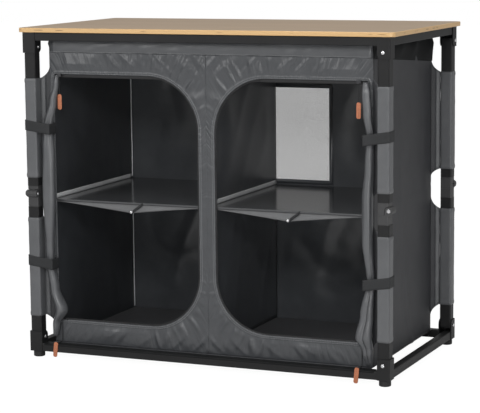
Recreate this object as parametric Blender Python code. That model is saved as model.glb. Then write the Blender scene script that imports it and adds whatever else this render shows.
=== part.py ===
"""Folding camping cupboard: a square-tube frame on four folding legs, a bamboo worktop and a fabric cabinet.

Metres, +Z up, front towards -Y. The origin is on the ground, under the middle of the worktop.
Each leg folds at a pivot in its lower bracket, a knee and a pivot in its upper bracket.
A leg's own frame is u, v, w: u points to the side of its knee pin, v lies along its pins, w is up.
"""

import math

import bmesh
import bpy
from mathutils import Matrix, Vector

# Running gap that touching pieces keep, and how deep fused shapes run into each other.
GAP = 0.0003
WELD = 0.0003

# Worktop.
WORKTOP_LENGTH = 0.950
WORKTOP_DEPTH = 0.517
WORKTOP_THICKNESS = 0.011
WORKTOP_CORNER = 0.012
WORKTOP_EDGE = 0.001
OVERHANG_ENDS = 0.0135
OVERHANG_FRONT = 0.0067

# Tubes of the two frames and of the legs.
RAIL = 0.020
RAIL_WALL = 0.0012
RAIL_CORNER = 0.002
RAIL_END_GAP = 0.001
LEG = 0.028
LEG_WALL = 0.0012
LEG_CORNER = 0.0025
HALF_LEG = 0.35475

# Feet.
FOOT_HEIGHT = 0.015
FOOT_DIAMETER = 0.028
FOOT_CHAMFER = 0.002

# Corner brackets and their pivot pins.
PLATE = 0.0025
PLATE_CLEARANCE = 0.0004
PIVOT_RISE = 0.0145
PLATE_RISE = 0.0145
PLATE_CORNER = 0.012
PIN_RADIUS = 0.003
PIN_CLEARANCE = 0.0003
RIVET_HEAD = 0.0042
RIVET_HEIGHT = 0.0015

# Knee.
KNEE_OFFSET = 0.0125
KNUCKLE_RADIUS = 0.009
KNUCKLE_HALF = 0.0059
KNUCKLE_CLEARANCE = 0.0011
SPLIT_DROP = 0.0095
UPPER_FITTING = 0.018
LOWER_FITTING = 0.0324
FITTING_PLUG = 0.020
BUTTON_RADIUS = 0.0074
BUTTON_DOME = 0.0045
BUTTON_TRAVEL = 0.003
BUTTON_SEAT = 0.009
KNEE_HEAD_RADIUS = 0.0045
KNEE_HEAD_HEIGHT = 0.0018

# Fabric sleeves on the legs, heights measured from the knee.
SLEEVE_WALL = 0.0006
UPPER_SLEEVE_FROM = 0.0385
UPPER_SLEEVE_TO = 0.279
LOWER_SLEEVE_FROM = 0.059
LOWER_SLEEVE_TO = 0.302

# Fabric cabinet.
FABRIC = 0.0012
END_CLEARANCE = 0.0215
FRONT_CLEARANCE = 0.0063
FOLD_DEPTH = 0.002
FLOOR_LIFT = 0.0005
FLOOR_BOARD = 0.004
HEM_DROP = 0.049
HEM_RISE = 0.0023
HEM_LIP = 0.012
SEAM_LAP = 0.0004
WALL_BILLOW = 0.006

# Front openings, with the bands of panel that are left round them.
STILE_HALF = 0.021
END_BAND = 0.012
TOP_BAND = 0.0525
BOTTOM_BAND = 0.0555
OPENING_RADIUS = 0.130
FOLD_REACH = 0.030

# Middle shelves and the slings under them.
SHELF_DROP = 0.01625
SHELF_THICKNESS = 0.004
SHELF_CORNER = 0.008
SHELF_CLEARANCE = 0.0005
SLING_SAG = 0.0215

# Mesh window in the back wall.
WINDOW_HALF = 0.144
WINDOW_LIFT = 0.014
WINDOW_HEIGHT = 0.233
WINDOW_COLUMNS = 10
WINDOW_ROWS = 9
MESH_BAR = 0.0022

# Rolled doors and the straps that tie them to the front legs.
ROLL_DEPTH_SHARE = 0.92
ROLL_LIFT = 0.026
STRAP_REACH = 0.034
STRAP_WEB = 0.025
STRAP_THICKNESS = 0.0008
STRAP_CORNER = 0.003
STRAP_SLOPE = 0.15
UPPER_STRAP_RISE = 0.16175
LOWER_STRAP_DROP = 0.16825

# Zip tape, sliders, cords and leather tabs.
ZIP_TAPE_HEIGHT = 0.012
ZIP_TAPE = 0.0008
SLIDER_LENGTH = 0.011
SLIDER_HEIGHT = 0.008
SLIDER_THICKNESS = 0.0038
CORD_RADIUS = 0.0008
TAB_WIDTH = 0.011
TAB_THICKNESS = 0.0020
TAB_LENGTH = 0.037
UPPER_CORD = 0.041
LOWER_CORD_BEND = 0.004
UPPER_ZIP_INSET = 0.002
LOWER_ZIP_INSET = 0.0005
LEFT_UPPER_SLIDER_IN = 0.015
RIGHT_UPPER_SLIDER_IN = 0.0215
LEFT_LOWER_SLIDER_IN = 0.008
RIGHT_LOWER_SLIDER_IN = 0.0145

# Heights that follow.
RAIL_TOP = FOOT_HEIGHT + RAIL
PIVOT_Z = RAIL_TOP + PIVOT_RISE
KNEE_Z = PIVOT_Z + HALF_LEG
TOP_PIVOT_Z = PIVOT_Z + 2 * HALF_LEG
TOP_RAIL_Z = TOP_PIVOT_Z + PIVOT_RISE
WORKTOP_Z = TOP_RAIL_Z + RAIL
PANEL_TOP = WORKTOP_Z - HEM_DROP
FLOOR_LOW = RAIL_TOP - FLOOR_LIFT
FLOOR_TOP = FLOOR_LOW + FABRIC
BOARD_LOW = FLOOR_TOP + GAP
OPENING_TOP = PANEL_TOP - TOP_BAND
OPENING_BOTTOM = BOARD_LOW + BOTTOM_BAND
UPPER_ZIP_Z = OPENING_TOP - UPPER_ZIP_INSET
LOWER_ZIP_Z = OPENING_BOTTOM + LOWER_ZIP_INSET
SHELF_TOP = KNEE_Z - SHELF_DROP
WINDOW_BOTTOM = SHELF_TOP + WINDOW_LIFT
WINDOW_TOP = WINDOW_BOTTOM + WINDOW_HEIGHT
UPPER_STRAP_Z = KNEE_Z + UPPER_STRAP_RISE
LOWER_STRAP_Z = KNEE_Z - LOWER_STRAP_DROP
ROLL_TOP = UPPER_ZIP_Z
ROLL_BOTTOM = BOARD_LOW + ROLL_LIFT

# Plan positions that follow.
LEG_HALF = LEG / 2
BORE_CORNER = LEG_CORNER - LEG_WALL / 2
LEG_X = WORKTOP_LENGTH / 2 - OVERHANG_ENDS - LEG_HALF
LEG_Y = WORKTOP_DEPTH / 2 - OVERHANG_FRONT - LEG_HALF
PLATE_IN = LEG_HALF + PLATE_CLEARANCE
PLATE_OUT = PLATE_IN + PLATE
RAIL_X = LEG_X + PLATE_IN + WELD - RAIL / 2
RAIL_Y = LEG_Y + PLATE_IN + WELD - RAIL / 2
RAIL_IN_X = RAIL_X - RAIL / 2 - GAP
RAIL_IN_Y = RAIL_Y - RAIL / 2 - GAP
SLEEVE_OUT = LEG_HALF + GAP + SLEEVE_WALL
SLEEVE_IN_X = LEG_X - SLEEVE_OUT
CABINET_HALF_LENGTH = LEG_X - LEG_HALF - END_CLEARANCE
CABINET_HALF_DEPTH = LEG_Y - LEG_HALF - FRONT_CLEARANCE
OPENING_SIDE = CABINET_HALF_LENGTH - END_BAND
PANEL_Y = -CABINET_HALF_DEPTH
PANEL_BACK_Y = PANEL_Y + FABRIC
ZIP_TAPE_Y = PANEL_BACK_Y + FOLD_DEPTH + GAP
INNER_FRONT_Y = ZIP_TAPE_Y + ZIP_TAPE + GAP
WALL_IN_X = CABINET_HALF_LENGTH - FABRIC - GAP
WALL_IN_Y = CABINET_HALF_DEPTH - FABRIC - GAP
PIN_HOLE = PIN_RADIUS + PIN_CLEARANCE
CORD_Y = PANEL_Y - GAP - SLIDER_THICKNESS / 2
EYE_DROP = SLIDER_HEIGHT / 2 + CORD_RADIUS + GAP

# Rolled doors from the bottom up: height, middle and half width. The straps draw them out to the legs.
ROLL_LEVELS = (
    (ROLL_BOTTOM, OPENING_SIDE + 0.0055, 0.0075),
    (OPENING_BOTTOM + 0.0135, OPENING_SIDE + 0.0070, 0.0090),
    (OPENING_BOTTOM + 0.0385, OPENING_SIDE - 0.0040, 0.0185),
    (LOWER_STRAP_Z, SLEEVE_IN_X - 0.0165, 0.0125),
    (KNEE_Z, SLEEVE_IN_X - 0.0185, 0.0175),
    (UPPER_STRAP_Z, SLEEVE_IN_X - 0.0185, 0.0125),
    (OPENING_TOP - 0.0370, OPENING_SIDE + 0.0035, 0.0085),
    (ROLL_TOP, OPENING_SIDE + 0.0010, 0.0060),
)

# Each leg: name, sign of x, sign of y, direction of u, and the end of its knee pin that has the button.
LEGS = (
    ("front_right", 1, -1, Vector((1, 0, 0)), 1),
    ("front_left", -1, -1, Vector((0, -1, 0)), -1),
    ("rear_left", -1, 1, Vector((-1, 0, 0)), 1),
    ("rear_right", 1, 1, Vector((0, 1, 0)), -1),
)


def clear_scene():
    for obj in list(bpy.data.objects):
        bpy.data.objects.remove(obj, do_unlink=True)


def material(name, color, roughness, metallic=0.0):
    made = bpy.data.materials.new(name)
    made.use_nodes = True
    shader = made.node_tree.nodes["Principled BSDF"]
    shader.inputs["Base Color"].default_value = (*color, 1.0)
    shader.inputs["Roughness"].default_value = roughness
    shader.inputs["Metallic"].default_value = metallic
    return made


def add_object(name, mesh, look=None, parent=None):
    obj = bpy.data.objects.new(name, mesh)
    bpy.context.scene.collection.objects.link(obj)
    if look is not None:
        mesh.materials.clear()
        mesh.materials.append(look)
    obj.parent = parent
    return obj


def add_empty(name, location, frame=None):
    empty = bpy.data.objects.new(name, None)
    bpy.context.scene.collection.objects.link(empty)
    empty.matrix_world = Matrix.Translation(location) @ (frame or Matrix.Identity(4))
    return empty


def to_mesh(name, bm, smooth_angle=None):
    bmesh.ops.remove_doubles(bm, verts=bm.verts, dist=1e-6)
    bmesh.ops.recalc_face_normals(bm, faces=bm.faces)
    mesh = bpy.data.meshes.new(name)
    bm.to_mesh(mesh)
    bm.free()
    if smooth_angle is not None:
        mesh.shade_smooth()
        mesh.set_sharp_from_angle(angle=smooth_angle)
    return mesh


def bridge_rings(bm, rings, closed=True):
    """Joins rings of vertices with quads; a closed run joins the last ring to the first."""
    count = len(rings[0])
    last = len(rings) if closed else len(rings) - 1
    for r in range(last):
        low, high = rings[r], rings[(r + 1) % len(rings)]
        for i in range(count):
            j = (i + 1) % count
            bm.faces.new((low[i], low[j], high[j], high[i]))


def loft(rings, closed=False):
    """A solid through rings of points: capped at both ends, or joined end to end where closed."""
    bm = bmesh.new()
    made = [[bm.verts.new(point) for point in ring] for ring in rings]
    bridge_rings(bm, made, closed)
    if not closed:
        bm.faces.new(made[0])
        bm.faces.new(made[-1])
    return bm


def rounded_rectangle(half_a, half_b, radius, steps):
    """Points of a rounded rectangle, counter-clockwise."""
    points = []
    for quarter, (sa, sb) in enumerate(((1, 1), (-1, 1), (-1, -1), (1, -1))):
        for step in range(steps + 1):
            angle = (quarter + step / steps) * math.pi / 2
            a = sa * (half_a - radius) + radius * math.cos(angle)
            b = sb * (half_b - radius) + radius * math.sin(angle)
            points.append((a, b))
    return points


def along(axis, a, b, c):
    """The point with c along the axis, and a and b along the other two."""
    return {"x": (c, a, b), "y": (a, c, b), "z": (a, b, c)}[axis]


def prism(outline, low, high, axis):
    """A prism of an outline, drawn in the two other axes, from low to high along the axis."""
    return loft([[along(axis, a, b, level) for a, b in outline] for level in (low, high)])


def box(low, high):
    outline = ((low[0], low[1]), (high[0], low[1]), (high[0], high[1]), (low[0], high[1]))
    return prism(outline, low[2], high[2], "z")


def cylinder(radius, low, high, axis, centre=(0, 0), segments=14):
    outline = []
    for i in range(segments):
        turn = 2 * math.pi * i / segments
        outline.append((centre[0] + radius * math.cos(turn), centre[1] + radius * math.sin(turn)))
    return prism(outline, low, high, axis)


def turned(profile, axis, segments=20):
    """A turned solid: profile points are radius and height, and the first and last lie on the axis."""
    bm = bmesh.new()
    turn = 2 * math.pi / segments
    rings = []
    for radius, height in profile[1:-1]:
        ring = []
        for i in range(segments):
            a, b = radius * math.cos(i * turn), radius * math.sin(i * turn)
            ring.append(bm.verts.new(along(axis, a, b, height)))
        rings.append(ring)
    bridge_rings(bm, rings, closed=False)
    for ring, (_, height) in ((rings[0], profile[0]), (rings[-1], profile[-1])):
        tip = bm.verts.new(along(axis, 0, 0, height))
        for i in range(segments):
            bm.faces.new((ring[i], ring[(i + 1) % segments], tip))
    return bm


def combined(operation, base, others, solver):
    """The shape that a Boolean leaves of a base and other shapes, one after another.

    Shapes whose faces lie flush take the MANIFOLD solver, because EXACT leaves slivers open there.
    """
    body = add_object("working_body", to_mesh("working_body", base))
    tools = []
    for other in others:
        tool = add_object("working_tool", to_mesh("working_tool", other))
        step = body.modifiers.new("boolean", "BOOLEAN")
        step.operation = operation
        step.solver = solver
        step.object = tool
        tools.append(tool)
    bpy.context.view_layer.update()
    graph = bpy.context.evaluated_depsgraph_get()
    mesh = bpy.data.meshes.new_from_object(body.evaluated_get(graph))
    for obj in (body, *tools):
        bpy.data.objects.remove(obj, do_unlink=True)
    bm = bmesh.new()
    bm.from_mesh(mesh)
    bpy.data.meshes.remove(mesh)
    return bm


def cut(base, *tools, solver="EXACT"):
    return combined("DIFFERENCE", base, tools, solver)


def joined(base, *others, solver="EXACT"):
    return combined("UNION", base, others, solver)


def moved(bm, offset=(0, 0, 0), matrix=None):
    if matrix is not None:
        bmesh.ops.transform(bm, matrix=matrix, verts=bm.verts)
    bmesh.ops.translate(bm, vec=Vector(offset), verts=bm.verts)
    return bm


def leg_frame(u):
    """The turn that takes a leg's u, v, w to the world."""
    w = Vector((0, 0, 1))
    return Matrix((u, w.cross(u), w)).transposed().to_4x4()


def square_tube(half, wall, corner, low, high, axis):
    """A square tube, open at both ends, centred on its axis."""
    outer = rounded_rectangle(half, half, corner, 2)
    inner = rounded_rectangle(half - wall, half - wall, corner - wall / 2, 2)
    rings = [
        [along(axis, a, b, low) for a, b in outer],
        [along(axis, a, b, high) for a, b in outer],
        [along(axis, a, b, high) for a, b in inner],
        [along(axis, a, b, low) for a, b in inner],
    ]
    return loft(rings, closed=True)


# Frames: each rail runs into one bracket and butts on the next, so the four make a pinwheel.
def rails(centre_z):
    spans = (
        ("x", LEG_X + PLATE_IN - RAIL_END_GAP, LEG_X - PLATE_OUT + WELD, (0, -RAIL_Y)),
        ("y", LEG_Y + PLATE_IN - RAIL_END_GAP, LEG_Y - PLATE_OUT + WELD, (RAIL_X, 0)),
    )
    tubes = []
    for sign in (1, -1):
        for axis, run_in, butt, centre in spans:
            low, high = sorted((-sign * butt, sign * run_in))
            tube = square_tube(RAIL / 2, RAIL_WALL, RAIL_CORNER, low, high, axis)
            tubes.append(moved(tube, (sign * centre[0], sign * centre[1], centre_z)))
    return tubes


def pivot_rivet():
    """A pivot pin riveted into both bracket plates, with a domed head on each."""
    face = PLATE_OUT - WELD
    tip = PLATE_OUT + RIVET_HEIGHT
    head = [(0, tip), (RIVET_HEAD * 0.55, tip - RIVET_HEIGHT * 0.15), (RIVET_HEAD, PLATE_OUT + WELD)]
    half = [*head, (RIVET_HEAD, face), (PIN_RADIUS, face)]
    return turned(half + [(radius, -height) for radius, height in reversed(half)], "y", 12)


def bracket():
    """A bent U of plate round the leg's end: w = 0 at its pivot, the web on +u, the rail's end below."""
    bend = PLATE * 1.2
    outline = [(-LEG_HALF, -PLATE_OUT)]
    for quarter, sign in ((3, -1), (0, 1)):
        for step in range(4):
            angle = (quarter + step / 3) * math.pi / 2
            a = PLATE_OUT - bend + bend * math.cos(angle)
            b = sign * (PLATE_OUT - bend) + bend * math.sin(angle)
            outline.append((a, b))
    outline += [(-LEG_HALF, PLATE_OUT), (-LEG_HALF, PLATE_IN)]
    outline += [(PLATE_IN, PLATE_IN), (PLATE_IN, -PLATE_IN), (-LEG_HALF, -PLATE_IN)]
    channel = prism(outline, -PIVOT_RISE - RAIL, PLATE_RISE, "z")
    centre_a, centre_b = PLATE_CORNER - LEG_HALF, PLATE_RISE - PLATE_CORNER
    corner = [(-LEG_HALF - PLATE, PLATE_RISE + PLATE), (-LEG_HALF - PLATE, centre_b)]
    for step in range(7):
        angle = math.pi - step / 6 * math.pi / 2
        corner.append((centre_a + PLATE_CORNER * math.cos(angle), centre_b + PLATE_CORNER * math.sin(angle)))
    corner.append((centre_a, PLATE_RISE + PLATE))
    return joined(cut(channel, prism(corner, -LEG, LEG, "y")), pivot_rivet())


def make_frames(looks):
    """Two welded frames: the same rails and brackets, with the upper one's brackets upside down."""
    for name, rail_z, pivot_z, flip in (
        ("base_frame", FOOT_HEIGHT + RAIL / 2, PIVOT_Z, 1),
        ("top_frame", TOP_RAIL_Z + RAIL / 2, TOP_PIVOT_Z, -1),
    ):
        parts = rails(rail_z)
        for _, sx, sy, u, _ in LEGS:
            turn = leg_frame(u) @ Matrix.Diagonal((1, 1, flip, 1))
            parts.append(moved(bracket(), (sx * LEG_X, sy * LEG_Y, pivot_z), turn))
        add_object(name, to_mesh(name, joined(*parts), math.radians(40)), looks["frame"])


def make_feet(looks):
    """A turned foot under each corner."""
    r = FOOT_DIAMETER / 2
    top = FOOT_HEIGHT - GAP
    rim = FOOT_CHAMFER / 2
    profile = [(0, 0), (r - FOOT_CHAMFER, 0), (r - rim / 3, FOOT_CHAMFER - rim), (r, FOOT_CHAMFER * 1.5)]
    profile += [(r, top - rim), (r - rim, top), (0, top)]
    mesh = to_mesh("foot", turned(profile, "z", 20), math.radians(40))
    for name, sx, sy, _, _ in LEGS:
        piece = add_object(name + "_foot", mesh, looks["rubber"])
        piece.location = (sx * LEG_X, sy * LEG_Y, 0)


def make_worktop(looks):
    low = WORKTOP_Z + GAP
    high = WORKTOP_Z + WORKTOP_THICKNESS
    edge = WORKTOP_EDGE
    rings = []
    for inset, level in ((edge, low), (0, low + edge), (0, high - edge), (edge, high)):
        half_x, half_y = WORKTOP_LENGTH / 2 - inset, WORKTOP_DEPTH / 2 - inset
        points = rounded_rectangle(half_x, half_y, WORKTOP_CORNER - inset, 6)
        rings.append([(a, b, level) for a, b in points])
    add_object("worktop", to_mesh("worktop", loft(rings)), looks["bamboo"])


# Legs: every shape is drawn with w = 0 at the knee and u = 0 on the leg's centre line.
def leg_tube(knee_end, pivot_w):
    """A half-leg tube: square at the knee, half round about its pivot, drilled for the pivot pin."""
    side = 1 if pivot_w > knee_end else -1
    levels = []
    for step in range(2):
        angle = math.pi / 2 * step
        inset, v = LEG_CORNER * (1 - math.sin(angle)), LEG_HALF - LEG_CORNER * (1 - math.cos(angle))
        levels.append((inset, v))
    rings = []
    for inset, v in levels + [(inset, -v) for inset, v in reversed(levels)]:
        half = LEG_HALF - inset
        ring = [(-half, v, knee_end), (half, v, knee_end)]
        for step in range(9):
            angle = math.pi * step / 8
            ring.append((half * math.cos(angle), v, pivot_w + side * half * math.sin(angle)))
        rings.append(ring)
    tube = loft(rings)
    inner = LEG_HALF - LEG_WALL
    low, high = sorted((pivot_w + side * LEG, knee_end - side * LEG))
    bore = prism(rounded_rectangle(inner, inner, BORE_CORNER, 1), low, high, "z")
    return cut(tube, bore, cylinder(PIN_HOLE, -LEG, LEG, "y", (0, pivot_w)))


def fitting_block(low, high):
    """The part of a knee fitting that shows: the leg's section, relieved on the pin side to fold flat."""
    half_u = (LEG_HALF + KNEE_OFFSET) / 2
    points = rounded_rectangle(half_u, LEG_HALF, LEG_CORNER, 2)
    return prism([(a + KNEE_OFFSET - half_u, b) for a, b in points], low, high, "z")


def fitting_plug(low, high):
    half = LEG_HALF - LEG_WALL - GAP
    return prism(rounded_rectangle(half, half, BORE_CORNER, 1), low, high, "z")


def knee_barrel(radius, low, high):
    return cylinder(radius, low, high, "y", (KNEE_OFFSET, 0), 20)


def lower_fitting(button_side):
    """The lower half of the knee: a block in the tube's end with two ears that carry the pin."""
    split = -SPLIT_DROP - GAP
    block = fitting_block(-LOWER_FITTING, split)
    parts = [fitting_plug(-LOWER_FITTING - FITTING_PLUG, -LOWER_FITTING + WELD)]
    for side in (1, -1):
        low, high = sorted((side * (KNUCKLE_HALF + GAP), side * LEG_HALF))
        parts.append(knee_barrel(KNUCKLE_RADIUS, low, high))
        parts.append(box((KNEE_OFFSET - KNUCKLE_RADIUS, low, split - WELD), (KNEE_OFFSET, high, 0)))
    low, high = sorted((button_side * BUTTON_SEAT, button_side * LEG))
    seat = knee_barrel(BUTTON_RADIUS + GAP, low, high)
    fused = joined(block, *parts, solver="MANIFOLD")
    return cut(fused, seat, knee_barrel(PIN_HOLE, -LEG, LEG), solver="MANIFOLD")


def upper_fitting():
    """The upper half of the knee: a block in the tube's end with the middle knuckle."""
    clear = KNUCKLE_RADIUS + KNUCKLE_CLEARANCE
    block = fitting_block(-SPLIT_DROP, UPPER_FITTING)
    plug = fitting_plug(UPPER_FITTING - WELD, UPPER_FITTING + FITTING_PLUG)
    tools = []
    for side in (1, -1):
        low, high = sorted((side * KNUCKLE_HALF, side * LEG))
        tools.append(knee_barrel(clear, low, high))
        tools.append(box((KNEE_OFFSET - clear, low, -LEG), (LEG, high, 0)))
    knuckle = knee_barrel(KNUCKLE_RADIUS, -KNUCKLE_HALF, KNUCKLE_HALF)
    cleared = cut(joined(block, plug, solver="MANIFOLD"), *tools, solver="MANIFOLD")
    fused = joined(cleared, knuckle, solver="MANIFOLD")
    return cut(fused, knee_barrel(PIN_HOLE, -LEG, LEG), solver="MANIFOLD")


def knee_pin(button_side):
    """The knee pin: a domed head on one ear, its tail under the push button in the other."""
    face = LEG_HALF + GAP
    tip = face + KNEE_HEAD_HEIGHT
    tail = GAP - BUTTON_SEAT
    profile = [(0, tip), (KNEE_HEAD_RADIUS * 0.6, tip - GAP), (KNEE_HEAD_RADIUS, face + GAP)]
    profile += [(KNEE_HEAD_RADIUS, face), (PIN_RADIUS, face), (PIN_RADIUS, tail), (0, tail)]
    return turned([(radius, -button_side * height) for radius, height in profile], "y", 12)


def lock_button(button_side):
    """The domed push button at the pin's end, with its stem in the ear's seat."""
    face = LEG_HALF
    r = BUTTON_RADIUS
    seat = BUTTON_SEAT + BUTTON_TRAVEL + 2 * GAP
    profile = [(0, seat), (r, seat), (r, face + BUTTON_DOME * 0.35)]
    profile += [(r * 0.88, face + BUTTON_DOME * 0.72), (r * 0.5, face + BUTTON_DOME * 0.95)]
    profile += [(0, face + BUTTON_DOME)]
    return turned([(radius, button_side * height) for radius, height in profile], "y", 20)


def sleeve(low, high):
    """A fabric sleeve round a half leg."""
    inner = rounded_rectangle(LEG_HALF + GAP, LEG_HALF + GAP, LEG_CORNER, 2)
    outer = rounded_rectangle(SLEEVE_OUT, SLEEVE_OUT, LEG_CORNER + SLEEVE_WALL, 2)
    rings = [[(a, b, z) for a, b in points] for points, z in ((outer, low), (outer, high))]
    rings += [[(a, b, z) for a, b in points] for points, z in ((inner, high), (inner, low))]
    return loft(rings, closed=True)


def leg_pieces():
    """Name ending, mesh, look, half of the leg and place, for a button on either end of the knee pin."""
    smooth = math.radians(35)
    at_knee = (KNEE_OFFSET, 0, 0)
    shapes = {
        "_lower_tube": (leg_tube(-LOWER_FITTING - GAP, -HALF_LEG), "frame", "lower", (0, 0, 0)),
        "_upper_tube": (leg_tube(UPPER_FITTING + GAP, HALF_LEG), "frame", "upper", (0, 0, 0)),
        "_upper_knee": (upper_fitting(), "fitting", "upper", (0, 0, 0)),
        "_upper_sleeve": (sleeve(UPPER_SLEEVE_FROM, UPPER_SLEEVE_TO), "fabric", "upper", (0, 0, 0)),
        "_lower_sleeve": (sleeve(-LOWER_SLEEVE_TO, -LOWER_SLEEVE_FROM), "fabric", "lower", (0, 0, 0)),
    }
    common = [(end, to_mesh(end, bm, smooth), *rest) for end, (bm, *rest) in shapes.items()]
    pieces = {}
    for side in (1, -1):
        sided = {
            "_lower_knee": (lower_fitting(side), "fitting", "lower", (0, 0, 0)),
            "_knee_pin": (knee_pin(side), "steel", "lower", at_knee),
            "_lock_button": (lock_button(side), "fitting", "lower", at_knee),
        }
        pieces[side] = common + [(end, to_mesh(end, bm, smooth), *rest) for end, (bm, *rest) in sided.items()]
    return pieces


def make_legs(looks):
    """Each half leg hangs on an empty at its own pivot, turned to the leg's u, v, w."""
    pieces = leg_pieces()
    for name, sx, sy, u, button_side in LEGS:
        frame = leg_frame(u)
        pivot = Vector((sx * LEG_X, sy * LEG_Y, PIVOT_Z))
        knee = Vector((sx * LEG_X, sy * LEG_Y, KNEE_Z)) + u * KNEE_OFFSET
        halves = {
            "lower": (add_empty(name + "_lower_pivot", pivot, frame), Vector((0, 0, HALF_LEG))),
            "upper": (add_empty(name + "_knee_axis", knee, frame), Vector((-KNEE_OFFSET, 0, 0))),
        }
        for end, mesh, look, half, place in pieces[button_side]:
            axis, knee_from_axis = halves[half]
            piece = add_object(name + end, mesh, looks[look], axis)
            piece.location = knee_from_axis + Vector(place)


# Cabinet: the walls, divider, floor, slings and hem are sewn into one shell; the front is a sewn panel.
def top_hem():
    """The band sewn over the walls' top edge, with a lip stuck to the rails and notched for the brackets."""
    low = PANEL_TOP
    step = TOP_RAIL_Z + HEM_RISE
    lip = step + HEM_LIP
    out_x, out_y = CABINET_HALF_LENGTH + SEAM_LAP, CABINET_HALF_DEPTH + SEAM_LAP
    in_x, in_y = out_x - FABRIC, out_y - FABRIC
    sections = (
        (out_x, out_y, low),
        (out_x, out_y, step),
        (RAIL_IN_X, RAIL_IN_Y, step),
        (RAIL_IN_X, RAIL_IN_Y, lip),
        (RAIL_IN_X - FABRIC, RAIL_IN_Y - FABRIC, lip),
        (RAIL_IN_X - FABRIC, RAIL_IN_Y - FABRIC, step + FABRIC),
        (in_x, in_y, step + FABRIC),
        (in_x, in_y, low),
    )
    band = loft([[(-x, -y, z), (x, -y, z), (x, y, z), (-x, y, z)] for x, y, z in sections], closed=True)
    notch_x, notch_y = LEG_X - PLATE_OUT - GAP, LEG_Y - PLATE_OUT - GAP
    notches = []
    for _, sx, sy, _, _ in LEGS:
        x0, x1 = sorted((sx * notch_x, sx * (notch_x + 2 * LEG)))
        y0, y1 = sorted((sy * notch_y, sy * (notch_y + 2 * LEG)))
        notches.append(box((x0, y0, low - LEG), (x1, y1, lip + LEG)))
    return cut(band, *notches)


def draw_in(share_along, share_up):
    """How far an end wall hangs inwards, between the heights where boards hold it out."""
    bow = math.sin(math.pi * share_up) * math.sin(math.pi * share_along)
    crease = 0.25 * math.sin(3 * math.pi * share_up + 2 * share_along)
    return WALL_BILLOW * bow * (0.75 + crease)


def wall_ring(z, share_up, columns=8):
    """One level of the U of end walls and back wall: outer points, then inner points back again."""
    outer, inner = [], []
    front = PANEL_BACK_Y + GAP
    for side in (-1, 1):
        wall = []
        for i in range(columns + 1):
            share = i / columns
            x = CABINET_HALF_LENGTH - draw_in(share, share_up)
            y = front + (CABINET_HALF_DEPTH - front) * share
            y_in = front + (CABINET_HALF_DEPTH - FABRIC - front) * share
            wall.append(((side * x, y, z), (side * (x - FABRIC), y_in, z)))
        if side == 1:
            wall.reverse()
        outer += [point for point, _ in wall]
        inner += [point for _, point in wall]
    return outer + inner[::-1]


def hanging_walls(low, high):
    """End walls and back wall, held straight at the floor, at the middle shelves and at the hem."""
    rows = 6
    rings = [wall_ring(low, 0)]
    for start, end in ((low, SHELF_TOP), (SHELF_TOP, high)):
        for row in range(1, rows + 1):
            rings.append(wall_ring(start + (end - start) * row / rows, row / rows))
    return loft(rings)


def sling(side):
    """The fabric that hangs from the walls under a middle shelf, deepest in the middle of its front."""
    y0, y1 = INNER_FRONT_Y + SHELF_CLEARANCE, CABINET_HALF_DEPTH - FABRIC / 2
    x0, x1 = FABRIC / 4, CABINET_HALF_LENGTH - FABRIC / 2
    top = SHELF_TOP - SHELF_THICKNESS - GAP
    columns = 14
    rings = []
    for i in range(columns + 1):
        share = i / columns
        x = side * (x0 + (x1 - x0) * share)
        sag = SLING_SAG * 4 * share * (1 - share)
        ring = [(x, y0, top - FABRIC - sag), (x, y0, top - sag)]
        ring += [(x, y1, top - sag * 0.2), (x, y1, top - FABRIC - sag * 0.2)]
        rings.append(ring)
    return loft(rings)


def make_cabinet_shell(looks):
    """Walls, divider, floor, slings and top hem sewn together, with the window's opening in the back."""
    walls = hanging_walls(FLOOR_LOW + SEAM_LAP, PANEL_TOP + FABRIC)
    back = CABINET_HALF_DEPTH - FABRIC + SEAM_LAP
    over_board = BOARD_LOW + FLOOR_BOARD + GAP
    divider = box((-FABRIC / 2, INNER_FRONT_Y, over_board), (FABRIC / 2, back, PANEL_TOP))
    floor_x = CABINET_HALF_LENGTH - FABRIC / 2
    floor = box((-floor_x, -RAIL_IN_Y, FLOOR_LOW), (floor_x, RAIL_IN_Y, FLOOR_TOP))
    sewn = joined(walls, divider, floor, top_hem(), sling(1), sling(-1), solver="MANIFOLD")
    edge = WINDOW_HALF + GAP
    window_low = (-edge, CABINET_HALF_DEPTH - FABRIC - GAP, WINDOW_BOTTOM - GAP)
    window_high = (edge, CABINET_HALF_DEPTH + GAP, WINDOW_TOP + GAP)
    shell = cut(sewn, box(window_low, window_high), solver="MANIFOLD")
    add_object("cabinet_shell", to_mesh("cabinet_shell", shell, math.radians(30)), looks["lining"])


def bar_edges(start, end, count):
    """Both edges of each bar of the net, from start to end, with count gaps between the bars."""
    step = (end - start - MESH_BAR) / count
    edges = []
    for i in range(count + 1):
        edges += [start + i * step, start + i * step + MESH_BAR]
    return edges


def make_mesh_window(looks):
    """The net in the back wall: bars between rows of gaps."""
    xs = bar_edges(-WINDOW_HALF, WINDOW_HALF, WINDOW_COLUMNS)
    zs = bar_edges(WINDOW_BOTTOM, WINDOW_TOP, WINDOW_ROWS)
    bm = bmesh.new()
    y = CABINET_HALF_DEPTH - FABRIC
    grid = [[bm.verts.new((x, y, z)) for x in xs] for z in zs]
    for r in range(len(zs) - 1):
        for c in range(len(xs) - 1):
            if r % 2 and c % 2:
                continue
            bm.faces.new((grid[r][c], grid[r][c + 1], grid[r + 1][c + 1], grid[r + 1][c]))
    made = bmesh.ops.extrude_face_region(bm, geom=list(bm.faces))
    back_verts = [item for item in made["geom"] if isinstance(item, bmesh.types.BMVert)]
    bmesh.ops.translate(bm, vec=(0, FABRIC, 0), verts=back_verts)
    add_object("mesh_window", to_mesh("mesh_window", bm), looks["mesh"])


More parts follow.
